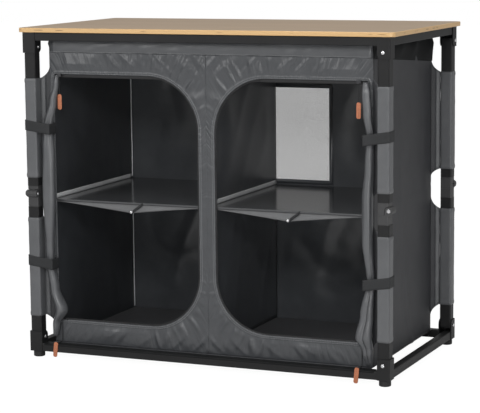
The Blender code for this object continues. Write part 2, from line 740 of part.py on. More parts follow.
def opening_outline(side):
    """A D-shaped front opening: straight at the cabinet's end, round at both corners by the stile."""
    points = [(OPENING_SIDE, OPENING_BOTTOM), (OPENING_SIDE, OPENING_TOP)]
    centre_x = STILE_HALF + OPENING_RADIUS
    for centre_z, start in ((OPENING_TOP - OPENING_RADIUS, 1), (OPENING_BOTTOM + OPENING_RADIUS, 2)):
        for step in range(9):
            angle = (start + step / 8) * math.pi / 2
            x = centre_x + OPENING_RADIUS * math.cos(angle)
            points.append((x, centre_z + OPENING_RADIUS * math.sin(angle)))
    return [(side * x, z) for x, z in points]


def panel_fold(x, z):
    """Depth of the folds that run out from the round corners of the openings."""
    centre_x = STILE_HALF + OPENING_RADIUS
    upper = z > (OPENING_TOP + OPENING_BOTTOM) / 2
    centre_z = OPENING_TOP - OPENING_RADIUS if upper else OPENING_BOTTOM + OPENING_RADIUS
    dx, dz = abs(x) - centre_x, z - centre_z
    reach = math.hypot(dx, dz) - OPENING_RADIUS
    near_corner = max(0.0, 1 - abs(reach - FOLD_REACH) / (2 * FOLD_REACH))
    return FOLD_DEPTH * near_corner * (0.5 + 0.5 * math.sin(11 * math.atan2(dz, dx)))


def panel_sheet(bm, back, columns, rows, low, high):
    """A grid of vertices over the front panel, its border left flat."""
    sheet = []
    for r in range(rows + 1):
        z = low + (high - low) * r / rows
        row = []
        for c in range(columns + 1):
            x = CABINET_HALF_LENGTH * (2 * c / columns - 1)
            border = c in (0, columns) or r in (0, rows)
            y = PANEL_Y + back + (0 if border else panel_fold(x, z))
            row.append(bm.verts.new((x, y, z)))
        sheet.append(row)
    return sheet


def make_front_panel(looks):
    """The front panel with its two openings and its tension folds."""
    columns, rows = 28, 24
    bm = bmesh.new()
    front, rear = (panel_sheet(bm, y, columns, rows, BOARD_LOW, PANEL_TOP - GAP) for y in (0, FABRIC))
    for sheet in (front, rear):
        for r in range(rows):
            for c in range(columns):
                bm.faces.new((sheet[r][c], sheet[r][c + 1], sheet[r + 1][c + 1], sheet[r + 1][c]))
    for c in range(columns):
        for r in (0, rows):
            bm.faces.new((front[r][c], front[r][c + 1], rear[r][c + 1], rear[r][c]))
    for r in range(rows):
        for c in (0, columns):
            bm.faces.new((front[r][c], front[r + 1][c], rear[r + 1][c], rear[r][c]))
    tools = [prism(opening_outline(side), PANEL_Y - RAIL, PANEL_Y + RAIL, "y") for side in (1, -1)]
    add_object("front_panel", to_mesh("front_panel", cut(bm, *tools), math.radians(30)), looks["fabric"])


def roll_level(z):
    """Middle and half width of a rolled door at a height, eased between its stated levels."""
    for (z0, x0, half0), (z1, x1, half1) in zip(ROLL_LEVELS, ROLL_LEVELS[1:]):
        if z <= z1:
            break
    share = min(1.0, max(0.0, (z - z0) / (z1 - z0)))
    share = share * share * (3 - 2 * share)
    return x0 + (x1 - x0) * share, half0 + (half1 - half0) * share


def roll_ring(side, z, sides):
    """One level of a rolled door, lobed where its turns lie; its back lies on the panel or on a strap."""
    centre_x, half = roll_level(z)
    strapped = min(abs(z - strap_z) for strap_z in (UPPER_STRAP_Z, LOWER_STRAP_Z)) < 2 * STRAP_WEB
    back = PANEL_Y - GAP - (STRAP_THICKNESS + GAP if strapped else 0)
    points = []
    for i in range(sides):
        angle = 2 * math.pi * i / sides
        lobe = 0.93 + 0.07 * math.sin(3 * angle + 9 * z)
        x = centre_x + half * lobe * math.cos(angle)
        points.append((side * x, half * ROLL_DEPTH_SHARE * lobe * math.sin(angle)))
    shift = back - max(y for _, y in points)
    return [(x, y + shift, z) for x, y in points]


def make_door_rolls(looks):
    """Each door is rolled up beside its opening and drawn out to its front leg by two straps."""
    steps = 32
    for name, side in (("left_door_roll", -1), ("right_door_roll", 1)):
        rings = []
        for k in range(steps + 1):
            rings.append(roll_ring(side, ROLL_BOTTOM + (ROLL_TOP - ROLL_BOTTOM) * k / steps, 12))
        add_object(name, to_mesh(name, loft(rings), math.radians(50)), looks["fabric"])


def strap_loop(side, centre_z):
    """Webbing round a front leg's sleeve and the rolled door beside it, lower at the door."""
    low_x = SLEEVE_IN_X - STRAP_REACH
    high_x = LEG_X + SLEEVE_OUT + GAP
    low_y = -(LEG_Y + SLEEVE_OUT + GAP)
    high_y = PANEL_Y - GAP - STRAP_THICKNESS
    mid_x, mid_y = (low_x + high_x) / 2, (low_y + high_y) / 2
    half_x, half_y = (high_x - low_x) / 2, (high_y - low_y) / 2
    rings = []
    for grow, up in ((0, 0), (0, 1), (STRAP_THICKNESS, 1), (STRAP_THICKNESS, 0)):
        ring = []
        for a, b in rounded_rectangle(half_x + grow, half_y + grow, STRAP_CORNER + grow, 3):
            z = centre_z + STRAP_WEB * (up - 0.5) + STRAP_SLOPE * a
            ring.append((side * (mid_x + a), mid_y + b, z))
        rings.append(ring)
    return loft(rings, closed=True)


def make_straps(looks):
    for level, z in (("upper", UPPER_STRAP_Z), ("lower", LOWER_STRAP_Z)):
        for name, side in (("left", -1), ("right", 1)):
            node = f"{name}_{level}_strap"
            add_object(node, to_mesh(node, strap_loop(side, z)), looks["webbing"])


# Boards: one on the floor, and one in each bay half way up.
def board(x0, x1, low_z, thickness):
    y0, y1 = INNER_FRONT_Y + SHELF_CLEARANCE, WALL_IN_Y - SHELF_CLEARANCE
    mid_x, mid_y = (x0 + x1) / 2, (y0 + y1) / 2
    outline = rounded_rectangle((x1 - x0) / 2, (y1 - y0) / 2, SHELF_CORNER, 3)
    return prism([(a + mid_x, b + mid_y) for a, b in outline], low_z, low_z + thickness, "z")


def make_boards(looks):
    outer = WALL_IN_X - SHELF_CLEARANCE
    floor = board(-outer, outer, BOARD_LOW, FLOOR_BOARD)
    add_object("floor_board", to_mesh("floor_board", floor), looks["board"])
    for name, side in (("left_shelf", -1), ("right_shelf", 1)):
        x0, x1 = sorted((side * (FABRIC / 2 + SHELF_CLEARANCE), side * outer))
        shape = board(x0, x1, SHELF_TOP - SHELF_THICKNESS, SHELF_THICKNESS)
        add_object(name, to_mesh(name, shape), looks["board"])


# Zips: a tape behind the panel's upper edge, four sliders, and a leather tab on a cord at each slider.
def make_zip_tape(looks):
    """The tape that the upper zips share, sewn behind the panel along the openings' upper edge."""
    half = ZIP_TAPE_HEIGHT / 2
    low = (-OPENING_SIDE, ZIP_TAPE_Y, UPPER_ZIP_Z - half)
    high = (OPENING_SIDE, ZIP_TAPE_Y + ZIP_TAPE, UPPER_ZIP_Z + half)
    add_object("upper_zip_tape", to_mesh("upper_zip_tape", box(low, high)), looks["webbing"])


def slider():
    """A zip slider, waisted, and wider where the teeth go in."""
    half_l, half_h = SLIDER_LENGTH / 2, SLIDER_HEIGHT / 2
    upper = [(half_l, half_h * 0.7), (half_l * 0.5, half_h), (-half_l * 0.3, half_h * 0.75)]
    upper.append((-half_l, half_h * 0.6))
    outline = upper + [(a, -b) for a, b in reversed(upper)]
    return prism(outline, -SLIDER_THICKNESS / 2, SLIDER_THICKNESS / 2, "y")


def tab(top, y):
    """A leather tab with cut corners above and a round lower end."""
    half = TAB_WIDTH / 2
    low = top - TAB_LENGTH + half
    outline = [(half * 0.55, top), (half, top - half), (half, low)]
    for step in range(1, 6):
        angle = -math.pi * step / 6
        outline.append((half * math.cos(angle), low + half * math.sin(angle)))
    outline += [(-half, low), (-half, top - half), (-half * 0.55, top)]
    return prism(outline, y - TAB_THICKNESS / 2, y + TAB_THICKNESS / 2, "y")


def cord(route, radius, sides=8):
    """A round cord along a route that lies in a plane square to x."""
    rings = []
    across = Vector((1, 0, 0))
    for i, point in enumerate(route):
        before, after = route[max(i - 1, 0)], route[min(i + 1, len(route) - 1)]
        up = (Vector(after) - Vector(before)).cross(across).normalized()
        ring = []
        for s in range(sides):
            angle = 2 * math.pi * (s + 0.5) / sides
            ring.append(Vector(point) + radius * (math.cos(angle) * across + math.sin(angle) * up))
        rings.append(ring)
    return loft(rings)


def upper_puller():
    """A cord that hangs from the slider with the tab at its end; z = 0 at the slider's eye."""
    route = [(0, 0, CORD_RADIUS / 2 - UPPER_CORD * step / 3) for step in range(4)]
    route.append((0, 0, -UPPER_CORD - TAB_WIDTH / 4))
    return joined(tab(-UPPER_CORD, 0), cord(route, CORD_RADIUS))


def lower_puller():
    """A cord that hangs down the panel, lies over the front rail, and lets its tab hang in front."""
    over = FLOOR_TOP + GAP + CORD_RADIUS - (LOWER_ZIP_Z - EYE_DROP)
    front = -(RAIL_Y + RAIL / 2) - GAP - TAB_THICKNESS / 2 - CORD_Y
    bend = LOWER_CORD_BEND
    route = [(0, 0, CORD_RADIUS / 2), (0, 0, (over + bend) / 2), (0, 0, over + bend)]
    for step in range(1, 5):
        angle = math.pi / 2 * step / 4
        route.append((0, -bend * (1 - math.cos(angle)), over + bend * (1 - math.sin(angle))))
    route += [(0, front / 2, over), (0, front, over)]
    return joined(tab(over + bend, front), cord(route, CORD_RADIUS))


def make_zips(looks):
    """Each slider has an empty at its eye, from which its puller hangs and swings."""
    make_zip_tape(looks)
    places = (
        ("left_upper", LEFT_UPPER_SLIDER_IN - OPENING_SIDE, UPPER_ZIP_Z, upper_puller),
        ("right_upper", OPENING_SIDE - RIGHT_UPPER_SLIDER_IN, UPPER_ZIP_Z, upper_puller),
        ("left_lower", LEFT_LOWER_SLIDER_IN - OPENING_SIDE, LOWER_ZIP_Z, lower_puller),
        ("right_lower", OPENING_SIDE - RIGHT_LOWER_SLIDER_IN, LOWER_ZIP_Z, lower_puller),
    )
    for name, x, z, puller in places:
        body = moved(slider(), matrix=Matrix.Diagonal((1 if x < 0 else -1, 1, 1, 1)))
        piece = add_object(name + "_zip_slider", to_mesh(name + "_zip_slider", body), looks["steel"])
        piece.location = (x, CORD_Y, z)
        eye = add_empty(name + "_slider_eye", Vector((x, CORD_Y, z - EYE_DROP)))
        mesh = to_mesh(name + "_puller", puller(), math.radians(40))
        add_object(name + "_puller", mesh, looks["leather"], eye)


def make_looks():
    return {
        "frame": material("black_tube", (0.020, 0.020, 0.021), 0.45, 0.3),
        "fitting": material("black_nylon", (0.016, 0.016, 0.017), 0.5),
        "steel": material("steel", (0.62, 0.62, 0.62), 0.3, 1.0),
        "rubber": material("rubber", (0.015, 0.015, 0.015), 0.8),
        "bamboo": material("bamboo_ply", (0.58, 0.42, 0.24), 0.45),
        "fabric": material("grey_fabric", (0.085, 0.088, 0.092), 0.6),
        "lining": material("black_lining", (0.020, 0.021, 0.022), 0.5),
        "webbing": material("black_webbing", (0.022, 0.023, 0.025), 0.8),
        "board": material("black_board", (0.022, 0.022, 0.023), 0.35),
        "mesh": material("window_net", (0.30, 0.30, 0.30), 0.7),
        "leather": material("tan_leather", (0.42, 0.17, 0.09), 0.6),
    }


def build():
    clear_scene()
    looks = make_looks()
    make_frames(looks)
    make_feet(looks)
    make_worktop(looks)
    make_legs(looks)
    make_cabinet_shell(looks)
    make_mesh_window(looks)
    make_front_panel(looks)
    make_door_rolls(looks)
    make_straps(looks)
    make_boards(looks)
    make_zips(looks)


build()
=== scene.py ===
"""A folding camping cupboard with a bamboo worktop and a grey fabric cabinet, dressed over its frame."""

import math

import bmesh
import bpy
from mathutils import Matrix, Vector, noise


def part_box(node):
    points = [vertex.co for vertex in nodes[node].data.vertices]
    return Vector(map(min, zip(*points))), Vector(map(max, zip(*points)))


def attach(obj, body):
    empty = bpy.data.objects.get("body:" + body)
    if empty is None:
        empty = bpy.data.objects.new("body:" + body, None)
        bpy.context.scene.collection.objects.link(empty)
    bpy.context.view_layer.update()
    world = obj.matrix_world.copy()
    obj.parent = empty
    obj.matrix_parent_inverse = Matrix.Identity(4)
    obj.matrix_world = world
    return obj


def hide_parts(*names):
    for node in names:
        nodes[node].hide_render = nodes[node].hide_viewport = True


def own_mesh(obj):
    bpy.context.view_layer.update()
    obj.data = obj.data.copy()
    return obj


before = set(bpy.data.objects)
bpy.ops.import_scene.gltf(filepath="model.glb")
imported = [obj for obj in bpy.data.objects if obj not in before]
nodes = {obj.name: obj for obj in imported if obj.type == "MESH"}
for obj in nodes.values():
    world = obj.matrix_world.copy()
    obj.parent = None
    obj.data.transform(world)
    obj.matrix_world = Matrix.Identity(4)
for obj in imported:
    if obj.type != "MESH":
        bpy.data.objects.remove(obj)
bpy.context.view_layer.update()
bpy.ops.object.select_all(action="DESELECT")

# Camera: a long lens at the height of the worktop, in front and to the right of the cupboard.
def placed(name, data):
    """A new object in the scene."""
    made = bpy.data.objects.new(name, data)
    bpy.context.scene.collection.objects.link(made)
    return made


CAMERA_PLACE = (1.8224, -4.2773, 1.0331)
CAMERA_YAW, CAMERA_PITCH, CAMERA_ROLL = 0.40462, -0.14398, -0.0100
ahead = Vector((
    -math.sin(CAMERA_YAW) * math.cos(CAMERA_PITCH),
    math.cos(CAMERA_YAW) * math.cos(CAMERA_PITCH),
    math.sin(CAMERA_PITCH),
))
level_right = Vector((math.cos(CAMERA_YAW), math.sin(CAMERA_YAW), 0))
level_up = level_right.cross(ahead)
camera_right = level_right * math.cos(CAMERA_ROLL) + level_up * math.sin(CAMERA_ROLL)
camera_up = level_up * math.cos(CAMERA_ROLL) - level_right * math.sin(CAMERA_ROLL)
camera_data = bpy.data.cameras.new("camera")
camera_data.sensor_width = 36
camera_data.lens = 143.50
camera = placed("camera", camera_data)
turn = Matrix((camera_right, camera_up, -ahead)).transposed().to_4x4()
camera.matrix_world = Matrix.Translation(CAMERA_PLACE) @ turn
bpy.context.scene.camera = camera
bpy.context.scene.view_settings.view_transform = "Standard"

# Studio: a white room with a key lamp at the front, a low one beside the camera that reaches into the
# compartments, one above, and weak ones at the left and right.
LAMPS = (
    ("key_lamp", (1.0, -3.2, 1.9), 0.6, 30),
    ("low_lamp", (2.0, -3.4, 0.6), 0.8, 14),
    ("left_lamp", (-1.6, -2.7, 1.5), 0.6, 17),
    ("top_lamp", (0.2, -0.6, 2.9), 1.8, 29),
    ("side_lamp", (3.0, -0.6, 1.2), 1.4, 8),
)
for lamp_name, place, size, power in LAMPS:
    lamp_data = bpy.data.lights.new(lamp_name, "AREA")
    lamp_data.size = size
    lamp_data.energy = power
    lamp = placed(lamp_name, lamp_data)
    lamp.location = place
    lamp.rotation_euler = (Vector((0, 0, 0.42)) - Vector(place)).to_track_quat("-Z", "Y").to_euler()


def seen_directly(tree):
    """1 for rays that come straight from the camera or through holes in the net."""
    path = tree.nodes.new("ShaderNodeLightPath")
    most = tree.nodes.new("ShaderNodeMath")
    most.operation = "MAXIMUM"
    tree.links.new(path.outputs["Is Camera Ray"], most.inputs[0])
    tree.links.new(path.outputs["Is Transmission Ray"], most.inputs[1])
    return most.outputs[0]


world = bpy.data.worlds.new("white_room")
world.use_nodes = True
bpy.context.scene.world = world
tree = world.node_tree
room_light = tree.nodes["Background"]
room_light.inputs["Color"].default_value = (1, 1, 1, 1)
room_light.inputs["Strength"].default_value = 0.40
room_seen = tree.nodes.new("ShaderNodeBackground")
room_seen.inputs["Color"].default_value = (1, 1, 1, 1)
room_mix = tree.nodes.new("ShaderNodeMixShader")
tree.links.new(seen_directly(tree), room_mix.inputs["Fac"])
tree.links.new(room_light.outputs[0], room_mix.inputs[1])
tree.links.new(room_seen.outputs[0], room_mix.inputs[2])
tree.links.new(room_mix.outputs[0], tree.nodes["World Output"].inputs["Surface"])

bpy.ops.mesh.primitive_plane_add(size=30, location=(0, 0, 0))
floor = bpy.context.active_object
floor.name = "studio_floor"
floor_white = bpy.data.materials.new("floor_white")
floor_white.use_nodes = True
tree = floor_white.node_tree
tree.nodes["Principled BSDF"].inputs["Base Color"].default_value = (0.85, 0.85, 0.85, 1)
tree.nodes["Principled BSDF"].inputs["Roughness"].default_value = 0.9
glow = tree.nodes.new("ShaderNodeEmission")
glow.inputs["Strength"].default_value = 1.08
floor_mix = tree.nodes.new("ShaderNodeMixShader")
share = tree.nodes.new("ShaderNodeMath")
share.operation = "MULTIPLY"
share.inputs[1].default_value = 0.9
tree.links.new(seen_directly(tree), share.inputs[0])
tree.links.new(share.outputs[0], floor_mix.inputs["Fac"])
tree.links.new(tree.nodes["Principled BSDF"].outputs[0], floor_mix.inputs[1])
tree.links.new(glow.outputs[0], floor_mix.inputs[2])
tree.links.new(floor_mix.outputs[0], tree.nodes["Material Output"].inputs["Surface"])
floor.data.materials.append(floor_white)
floor.select_set(False)


# Frames and leg tubes: welded square tube and bent plate with a black powder coat, which has a fine
# orange-peel grain and catches a soft grey light on its edges.
def shader_of(material):
    return material.node_tree.nodes["Principled BSDF"]


def finish(name, color, roughness, metallic=0.0, **sockets):
    """A new material with its shader's main values."""
    made = bpy.data.materials.new(name)
    made.use_nodes = True
    shader = shader_of(made)
    shader.inputs["Base Color"].default_value = (*color, 1)
    shader.inputs["Roughness"].default_value = roughness
    shader.inputs["Metallic"].default_value = metallic
    for socket, value in sockets.items():
        shader.inputs[socket.replace("_", " ")].default_value = value
    return made


def node(material, kind, **values):
    """A new node, with inputs named with spaces given as values, and its own settings as text."""
    made = material.node_tree.nodes.new("ShaderNode" + kind)
    for name, value in values.items():
        if hasattr(made, name):
            setattr(made, name, value)
        else:
            made.inputs[name.replace("_", " ")].default_value = value
    return made


def link(material, source, target):
    material.node_tree.links.new(source, target)


def place_of(material, scale=(1, 1, 1), by="Object"):
    """Object or UV coordinates in metres, stretched by a scale."""
    place = node(material, "TexCoord")
    mapping = node(material, "Mapping", Scale=scale)
    link(material, place.outputs[by], mapping.inputs["Vector"])
    return mapping.outputs["Vector"]


def bumped(material, height, strength, distance):
    """Adds a bump from a height to what the shader's normal already has."""
    shader = shader_of(material)
    bump = node(material, "Bump", Strength=strength, Distance=distance)
    link(material, height, bump.inputs["Height"])
    if shader.inputs["Normal"].is_linked:
        link(material, shader.inputs["Normal"].links[0].from_socket, bump.inputs["Normal"])
    link(material, bump.outputs["Normal"], shader.inputs["Normal"])


def cloudy(material, scale=(1, 1, 1), **values):
    """A noise over the piece, stretched by a scale."""
    pattern = node(material, "TexNoise", **values)
    link(material, place_of(material, scale), pattern.inputs["Vector"])
    return pattern.outputs["Fac"]


def grain(material, scale, strength, distance, detail=2.0):
    """A fine raised grain; gives its height."""
    height = cloudy(material, Scale=scale, Detail=detail)
    bumped(material, height, strength, distance)
    return height


def ramp(material, factor, *stops):
    """A colour ramp over a factor: stops are a position and a colour."""
    made = node(material, "ValToRGB")
    band = made.color_ramp
    while len(band.elements) < len(stops):
        band.elements.new(0.5)
    for element, (position, color) in zip(band.elements, stops):
        element.position = position
        element.color = (*color, 1)
    link(material, factor, made.inputs["Fac"])
    return made.outputs["Color"]


def worked(material, operation, *sources):
    """The result of a step of arithmetic on other nodes' outputs."""
    step = node(material, "Math", operation=operation)
    for source, socket in zip(sources, step.inputs):
        link(material, source, socket)
    return step.outputs[0]


def tinted(material, color_socket):
    link(material, color_socket, shader_of(material).inputs["Base Color"])


powder_coat = finish("black_powder_coat", (0.009, 0.009, 0.0095), 0.48, Specular_IOR_Level=0.34)
grain(powder_coat, 900, 0.12, 0.0003)
coat_clouds = cloudy(powder_coat, Scale=14.0, Detail=3.0)
coat_tones = (0.3, (0.007, 0.007, 0.0075)), (0.75, (0.011, 0.011, 0.0115))
tinted(powder_coat, ramp(powder_coat, coat_clouds, *coat_tones))


def dress(material, *names):
    for name in names:
        nodes[name].data.materials.clear()
        nodes[name].data.materials.append(material)


LEGS = ("front_right", "front_left", "rear_left", "rear_right")
SIDES = (("left", -1), ("right", 1))
dress(powder_coat, "base_frame", "top_frame")
for leg in LEGS:
    dress(powder_coat, leg + "_lower_tube", leg + "_upper_tube")

# Pivot rivets: a steel rivet through each corner bracket, its two domed heads left bare and bright.
RIVET_RADIUS = 0.0044
RIVET_DOME = 0.0019
PLATE_FACE = 0.0169
steel = finish("bright_steel", (0.70, 0.70, 0.71), 0.24, 1.0)
grain(steel, 420, 0.10, 0.0002)
leg_u = {"front_right": (1, 0), "front_left": (0, -1), "rear_left": (-1, 0), "rear_right": (0, 1)}


def domed_head(name, centre, outward, radius, height):
    """A rivet head: a half ball pressed flat, with its rim on the plate."""
    bpy.ops.mesh.primitive_uv_sphere_add(segments=20, ring_count=10, radius=radius, location=(0, 0, 0))
    head = bpy.context.active_object
    head.name = name
    bpy.ops.object.mode_set(mode="EDIT")
    bpy.ops.mesh.select_all(action="SELECT")
    bpy.ops.mesh.bisect(plane_co=(0, 0, 0), plane_no=(0, 0, 1), clear_inner=True, use_fill=True)
    bpy.ops.mesh.select_all(action="SELECT")
    bpy.ops.transform.resize(value=(1, 1, height / radius))
    bpy.ops.object.mode_set(mode="OBJECT")
    bpy.ops.object.shade_smooth_by_angle(angle=math.radians(50))
    head.data.transform(Matrix.Translation(centre) @ Vector(outward).to_track_quat("Z", "Y").to_matrix().to_4x4())
    head.select_set(False)
    return head


def joined(name, parts):
    """Joins parts into one piece."""
    bpy.ops.object.select_all(action="DESELECT")
    for part in parts:
        part.select_set(True)
    bpy.context.view_layer.objects.active = parts[0]
    if len(parts) > 1:
        bpy.ops.object.join()
    piece = bpy.context.active_object
    piece.name = name
    piece.select_set(False)
    return piece


def as_one(name, parts, material, body):
    """Joins parts of one material into a piece that rides on a body."""
    piece = joined(name, parts)
    piece.data.materials.clear()
    piece.data.materials.append(material)
    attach(piece, body)
    return piece


for body, height in (("base", 0.0495), ("top", 0.759)):
    heads = []
    for leg in LEGS:
        low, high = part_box(leg + "_lower_tube")
        middle = (low + high) / 2
        across = Vector((-leg_u[leg][1], leg_u[leg][0], 0))
        for side in (1, -1):
            spot = Vector((middle.x, middle.y, height)) + across * side * PLATE_FACE
            heads.append(domed_head("head", spot, across * side, RIVET_RADIUS, RIVET_DOME))
    as_one(body + "_rivet_heads", heads, steel, body)

# Knees: moulded black nylon fittings in the tube ends, with a push button at one end of the steel pin
# and the pin's bright head at the other.
nylon = finish("black_nylon", (0.038, 0.038, 0.039), 0.48)
grain(nylon, 300, 0.15, 0.0003)
for leg in LEGS:
    dress(nylon, leg + "_lower_knee", leg + "_upper_knee", leg + "_lock_button")
    dress(steel, leg + "_knee_pin")

# Feet: turned black rubber feet with a fine matte skin.
rubber = finish("black_rubber", (0.014, 0.014, 0.014), 0.72)
grain(rubber, 500, 0.25, 0.0004)
dress(rubber, *(leg + "_foot" for leg in LEGS))

# Worktop: bamboo ply in three layers under a satin lacquer. Its strips run lengthwise, and the cut edge
# shows two pale layers with the dark ends of the crosswise strips between them.
bamboo = finish("bamboo_ply", (0.45, 0.32, 0.18), 0.38, Coat_Weight=0.25, Coat_Roughness=0.3)
strips = node(
    bamboo, "TexBrick", offset=0.37, Scale=1.0, Mortar_Size=0.0002, Brick_Width=0.62, Row_Height=0.021,
    Color1=(0.395, 0.268, 0.150, 1), Color2=(0.352, 0.237, 0.128, 1), Mortar=(0.308, 0.206, 0.110, 1),
)
link(bamboo, place_of(bamboo), strips.inputs["Vector"])
fibres = cloudy(bamboo, (5, 420, 420), Scale=1.0, Detail=4.0, Roughness=0.6)
fibre_tone = ramp(bamboo, fibres, (0.3, (0.86, 0.84, 0.80)), (0.7, (1.06, 1.06, 1.06)))
top_color = node(bamboo, "Mix", data_type="RGBA", blend_type="MULTIPLY", Factor=1.0)
link(bamboo, strips.outputs["Color"], top_color.inputs["A"])
link(bamboo, fibre_tone, top_color.inputs["B"])
height_axis = node(bamboo, "SeparateXYZ")
link(bamboo, place_of(bamboo), height_axis.inputs["Vector"])
worktop_low, worktop_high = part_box("worktop")
layer = node(bamboo, "MapRange", From_Min=worktop_low.z, From_Max=worktop_high.z)
link(bamboo, height_axis.outputs["Z"], layer.inputs["Value"])
core_stops = (0.38, (0, 0, 0)), (0.44, (1, 1, 1)), (0.58, (1, 1, 1)), (0.64, (0, 0, 0))
core = ramp(bamboo, layer.outputs["Result"], *core_stops)
strip_ends = cloudy(bamboo, (26, 40, 60), Scale=1.0, Detail=1.0)
end_spots = ramp(bamboo, strip_ends, (0.57, (0, 0, 0)), (0.66, (0.8, 0.8, 0.8)))
edge_color = node(bamboo, "Mix", data_type="RGBA", A=(0.64, 0.41, 0.185, 1), B=(0.27, 0.14, 0.06, 1))
link(bamboo, worked(bamboo, "MULTIPLY", core, end_spots), edge_color.inputs["Factor"])
facing = node(bamboo, "NewGeometry")
facing_up = node(bamboo, "SeparateXYZ")
link(bamboo, facing.outputs["Normal"], facing_up.inputs["Vector"])
flatness = worked(bamboo, "ABSOLUTE", facing_up.outputs["Z"])
is_face = ramp(bamboo, flatness, (0.80, (0, 0, 0)), (0.90, (1, 1, 1)))
board_color = node(bamboo, "Mix", data_type="RGBA")
link(bamboo, is_face, board_color.inputs["Factor"])
link(bamboo, edge_color.outputs["Result"], board_color.inputs["A"])
link(bamboo, top_color.outputs["Result"], board_color.inputs["B"])
tinted(bamboo, board_color.outputs["Result"])
bumped(bamboo, fibres, 0.08, 0.0003)
dress(bamboo, "worktop")

# Shelf and floor boards: stiff panels in a smooth black coating that mirrors the window softly.
board_black = finish("black_board", (0.060, 0.062, 0.065), 0.15, Specular_IOR_Level=0.6)
grain(board_black, 60, 0.05, 0.0006)
dress(board_black, "left_shelf", "right_shelf")
floor_black = finish("black_floor_board", (0.105, 0.105, 0.11), 0.42, Specular_IOR_Level=0.4)
grain(floor_black, 60, 0.08, 0.0006)
dress(floor_black, "floor_board")


# Cabinet cloth: dark grey coated polyester outside and black lining inside, cut and sewn in flat panels.
# It hangs between the two frames, drawn in slightly between the boards that hold it out.
def woven(name, color, darker, roughness, yarn=0.0011, **sockets):
    """A plain weave: two sets of yarns in the cloth's own plane, and a faint cloudiness of its dye."""
    made = finish(name, color, roughness, **sockets)
    weave = []
    for direction in ("X", "Y"):
        bands = node(made, "TexWave", bands_direction=direction, Scale=0.314 / (2 * yarn))
        link(made, place_of(made, by="UV"), bands.inputs["Vector"])
        weave.append(bands.outputs["Fac"])
    bumped(made, worked(made, "MULTIPLY", *weave), 0.25, 0.0002)
    mottle = cloudy(made, Scale=22.0, Detail=4.0, Roughness=0.6)
    tinted(made, ramp(made, mottle, (0.3, darker), (0.7, color)))
    return made


grey_cloth = woven("grey_polyester", (0.076, 0.079, 0.084), (0.062, 0.065, 0.070), 0.36, Specular_IOR_Level=0.75)
# The end walls, the back wall, the floor sheet and the corner flaps wear a darker copy of the same grey polyester:
# painted shade for the sides that turn away from the lamps.
shaded_side_cloth = woven("grey_polyester_shaded_side", (0.040, 0.041, 0.045), (0.032, 0.033, 0.036), 0.50, Specular_IOR_Level=0.35)
lining = woven("black_lining", (0.066, 0.070, 0.077), (0.052, 0.056, 0.061), 0.33, Specular_IOR_Level=0.6)
# The end walls' lining is a darker copy of the black lining: painted shade, to hold these walls down where the low
# lamp reaches them.
shaded_end_lining = woven("black_end_lining_shaded", (0.040, 0.043, 0.047), (0.030, 0.032, 0.036), 0.42, Specular_IOR_Level=0.4)
# The back wall's lining is a lighter copy of the black lining: painted light on the back walls of the bays.
lit_back_lining = woven("black_back_lining_lit", (0.076, 0.081, 0.088), (0.058, 0.062, 0.068), 0.30, Specular_IOR_Level=0.7)

FOLDED_SHARE = 0.105
FOLD_ANCHOR = (0, 0, 0.0345)


def squashed(piece, keep=FOLDED_SHARE, anchor=FOLD_ANCHOR):
    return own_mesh(piece)


def cloth(name, rows, thickness, outside, inside=None, closed=False, hole=None):
    """A sheet through rows of points, made as thick as its cloth, with UVs in metres along and across it."""
    columns = len(rows[0])
    middle_row, middle_column = rows[len(rows) // 2], [row[columns // 2] for row in rows]
    along, up = [0.0], [0.0]
    for i in range(columns if closed else columns - 1):
        along.append(along[-1] + (Vector(middle_row[(i + 1) % columns]) - Vector(middle_row[i])).length)
    for i in range(len(rows) - 1):
        up.append(up[-1] + (Vector(middle_column[i + 1]) - Vector(middle_column[i])).length)
    bm = bmesh.new()
    points = {}
    uv = bm.loops.layers.uv.new("cut")

    def corner(r, c):
        key = (r, c % columns)
        if key not in points:
            points[key] = bm.verts.new(rows[r][c % columns])
        return points[key]

    for r in range(len(rows) - 1):
        for c in range(columns if closed else columns - 1):
            if hole is not None and hole(r, c):
                continue
            spots = ((r, c), (r, c + 1), (r + 1, c + 1), (r + 1, c))
            face = bm.faces.new([corner(*spot) for spot in spots])
            face.smooth = True
            for loop, (i, j) in zip(face.loops, spots):
                loop[uv].uv = (along[j], up[i])
    mesh = bpy.data.meshes.new(name)
    area = sum(face.calc_area() for face in bm.faces)
    bm.to_mesh(mesh)
    bm.free()
    piece = placed(name, mesh)
    mesh.materials.append(outside)
    mesh.materials.append(inside or outside)
    wall = piece.modifiers.new("wall", "SOLIDIFY")
    wall.thickness = thickness
    wall.offset = 0
    wall.material_offset = 1
    bpy.context.view_layer.objects.active = piece
    bpy.ops.object.modifier_apply(modifier=wall.name)
    piece["cut_area"] = area
    piece["cut_size"] = [along[-1], up[-1]]
    return piece


def hang(piece, held, rests_on, body="base", stands_for=(), slot="fabric", **fold):
    """Lets a sheet ride on a body and hides the parts it stands for."""
    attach(piece, body)
    if stands_for:
        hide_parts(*stands_for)
    if body == "base":
        squashed(piece, **fold)
    return piece


def sewn_on(piece, slot, stands_for=(), **fold):
    """Lets a small piece ride on the base and hides the parts it stands for."""
    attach(piece, "base")
    if stands_for:
        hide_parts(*stands_for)
    squashed(piece, **fold)


def from_blocks(bm, name, material):
    """Makes one piece of the small blocks in a mesh."""
    mesh = bpy.data.meshes.new(name)
    bm.to_mesh(mesh)
    bm.free()
    mesh.materials.append(material)
    return placed(name, mesh)


def mix(start, end, share):
    return start + (end - start) * share


def spread(low, high, count):
    return [low + (high - low) * i / count for i in range(count + 1)]


def ridge(across, along, seed, sharp=3.4):
    """Sharp folds: 1 along thin lines that wander, 0 between them."""
    return max(0.0, 1 - sharp * abs(noise.noise(Vector((across + seed, along + 1.7 * seed, 2.3 * seed)))))


def ripple(point, scale, seed):
    """A smooth random height from -1 to 1 at a point."""
    return noise.noise(Vector(point) * scale + Vector((seed, 3.7 * seed, 1.3 * seed)))


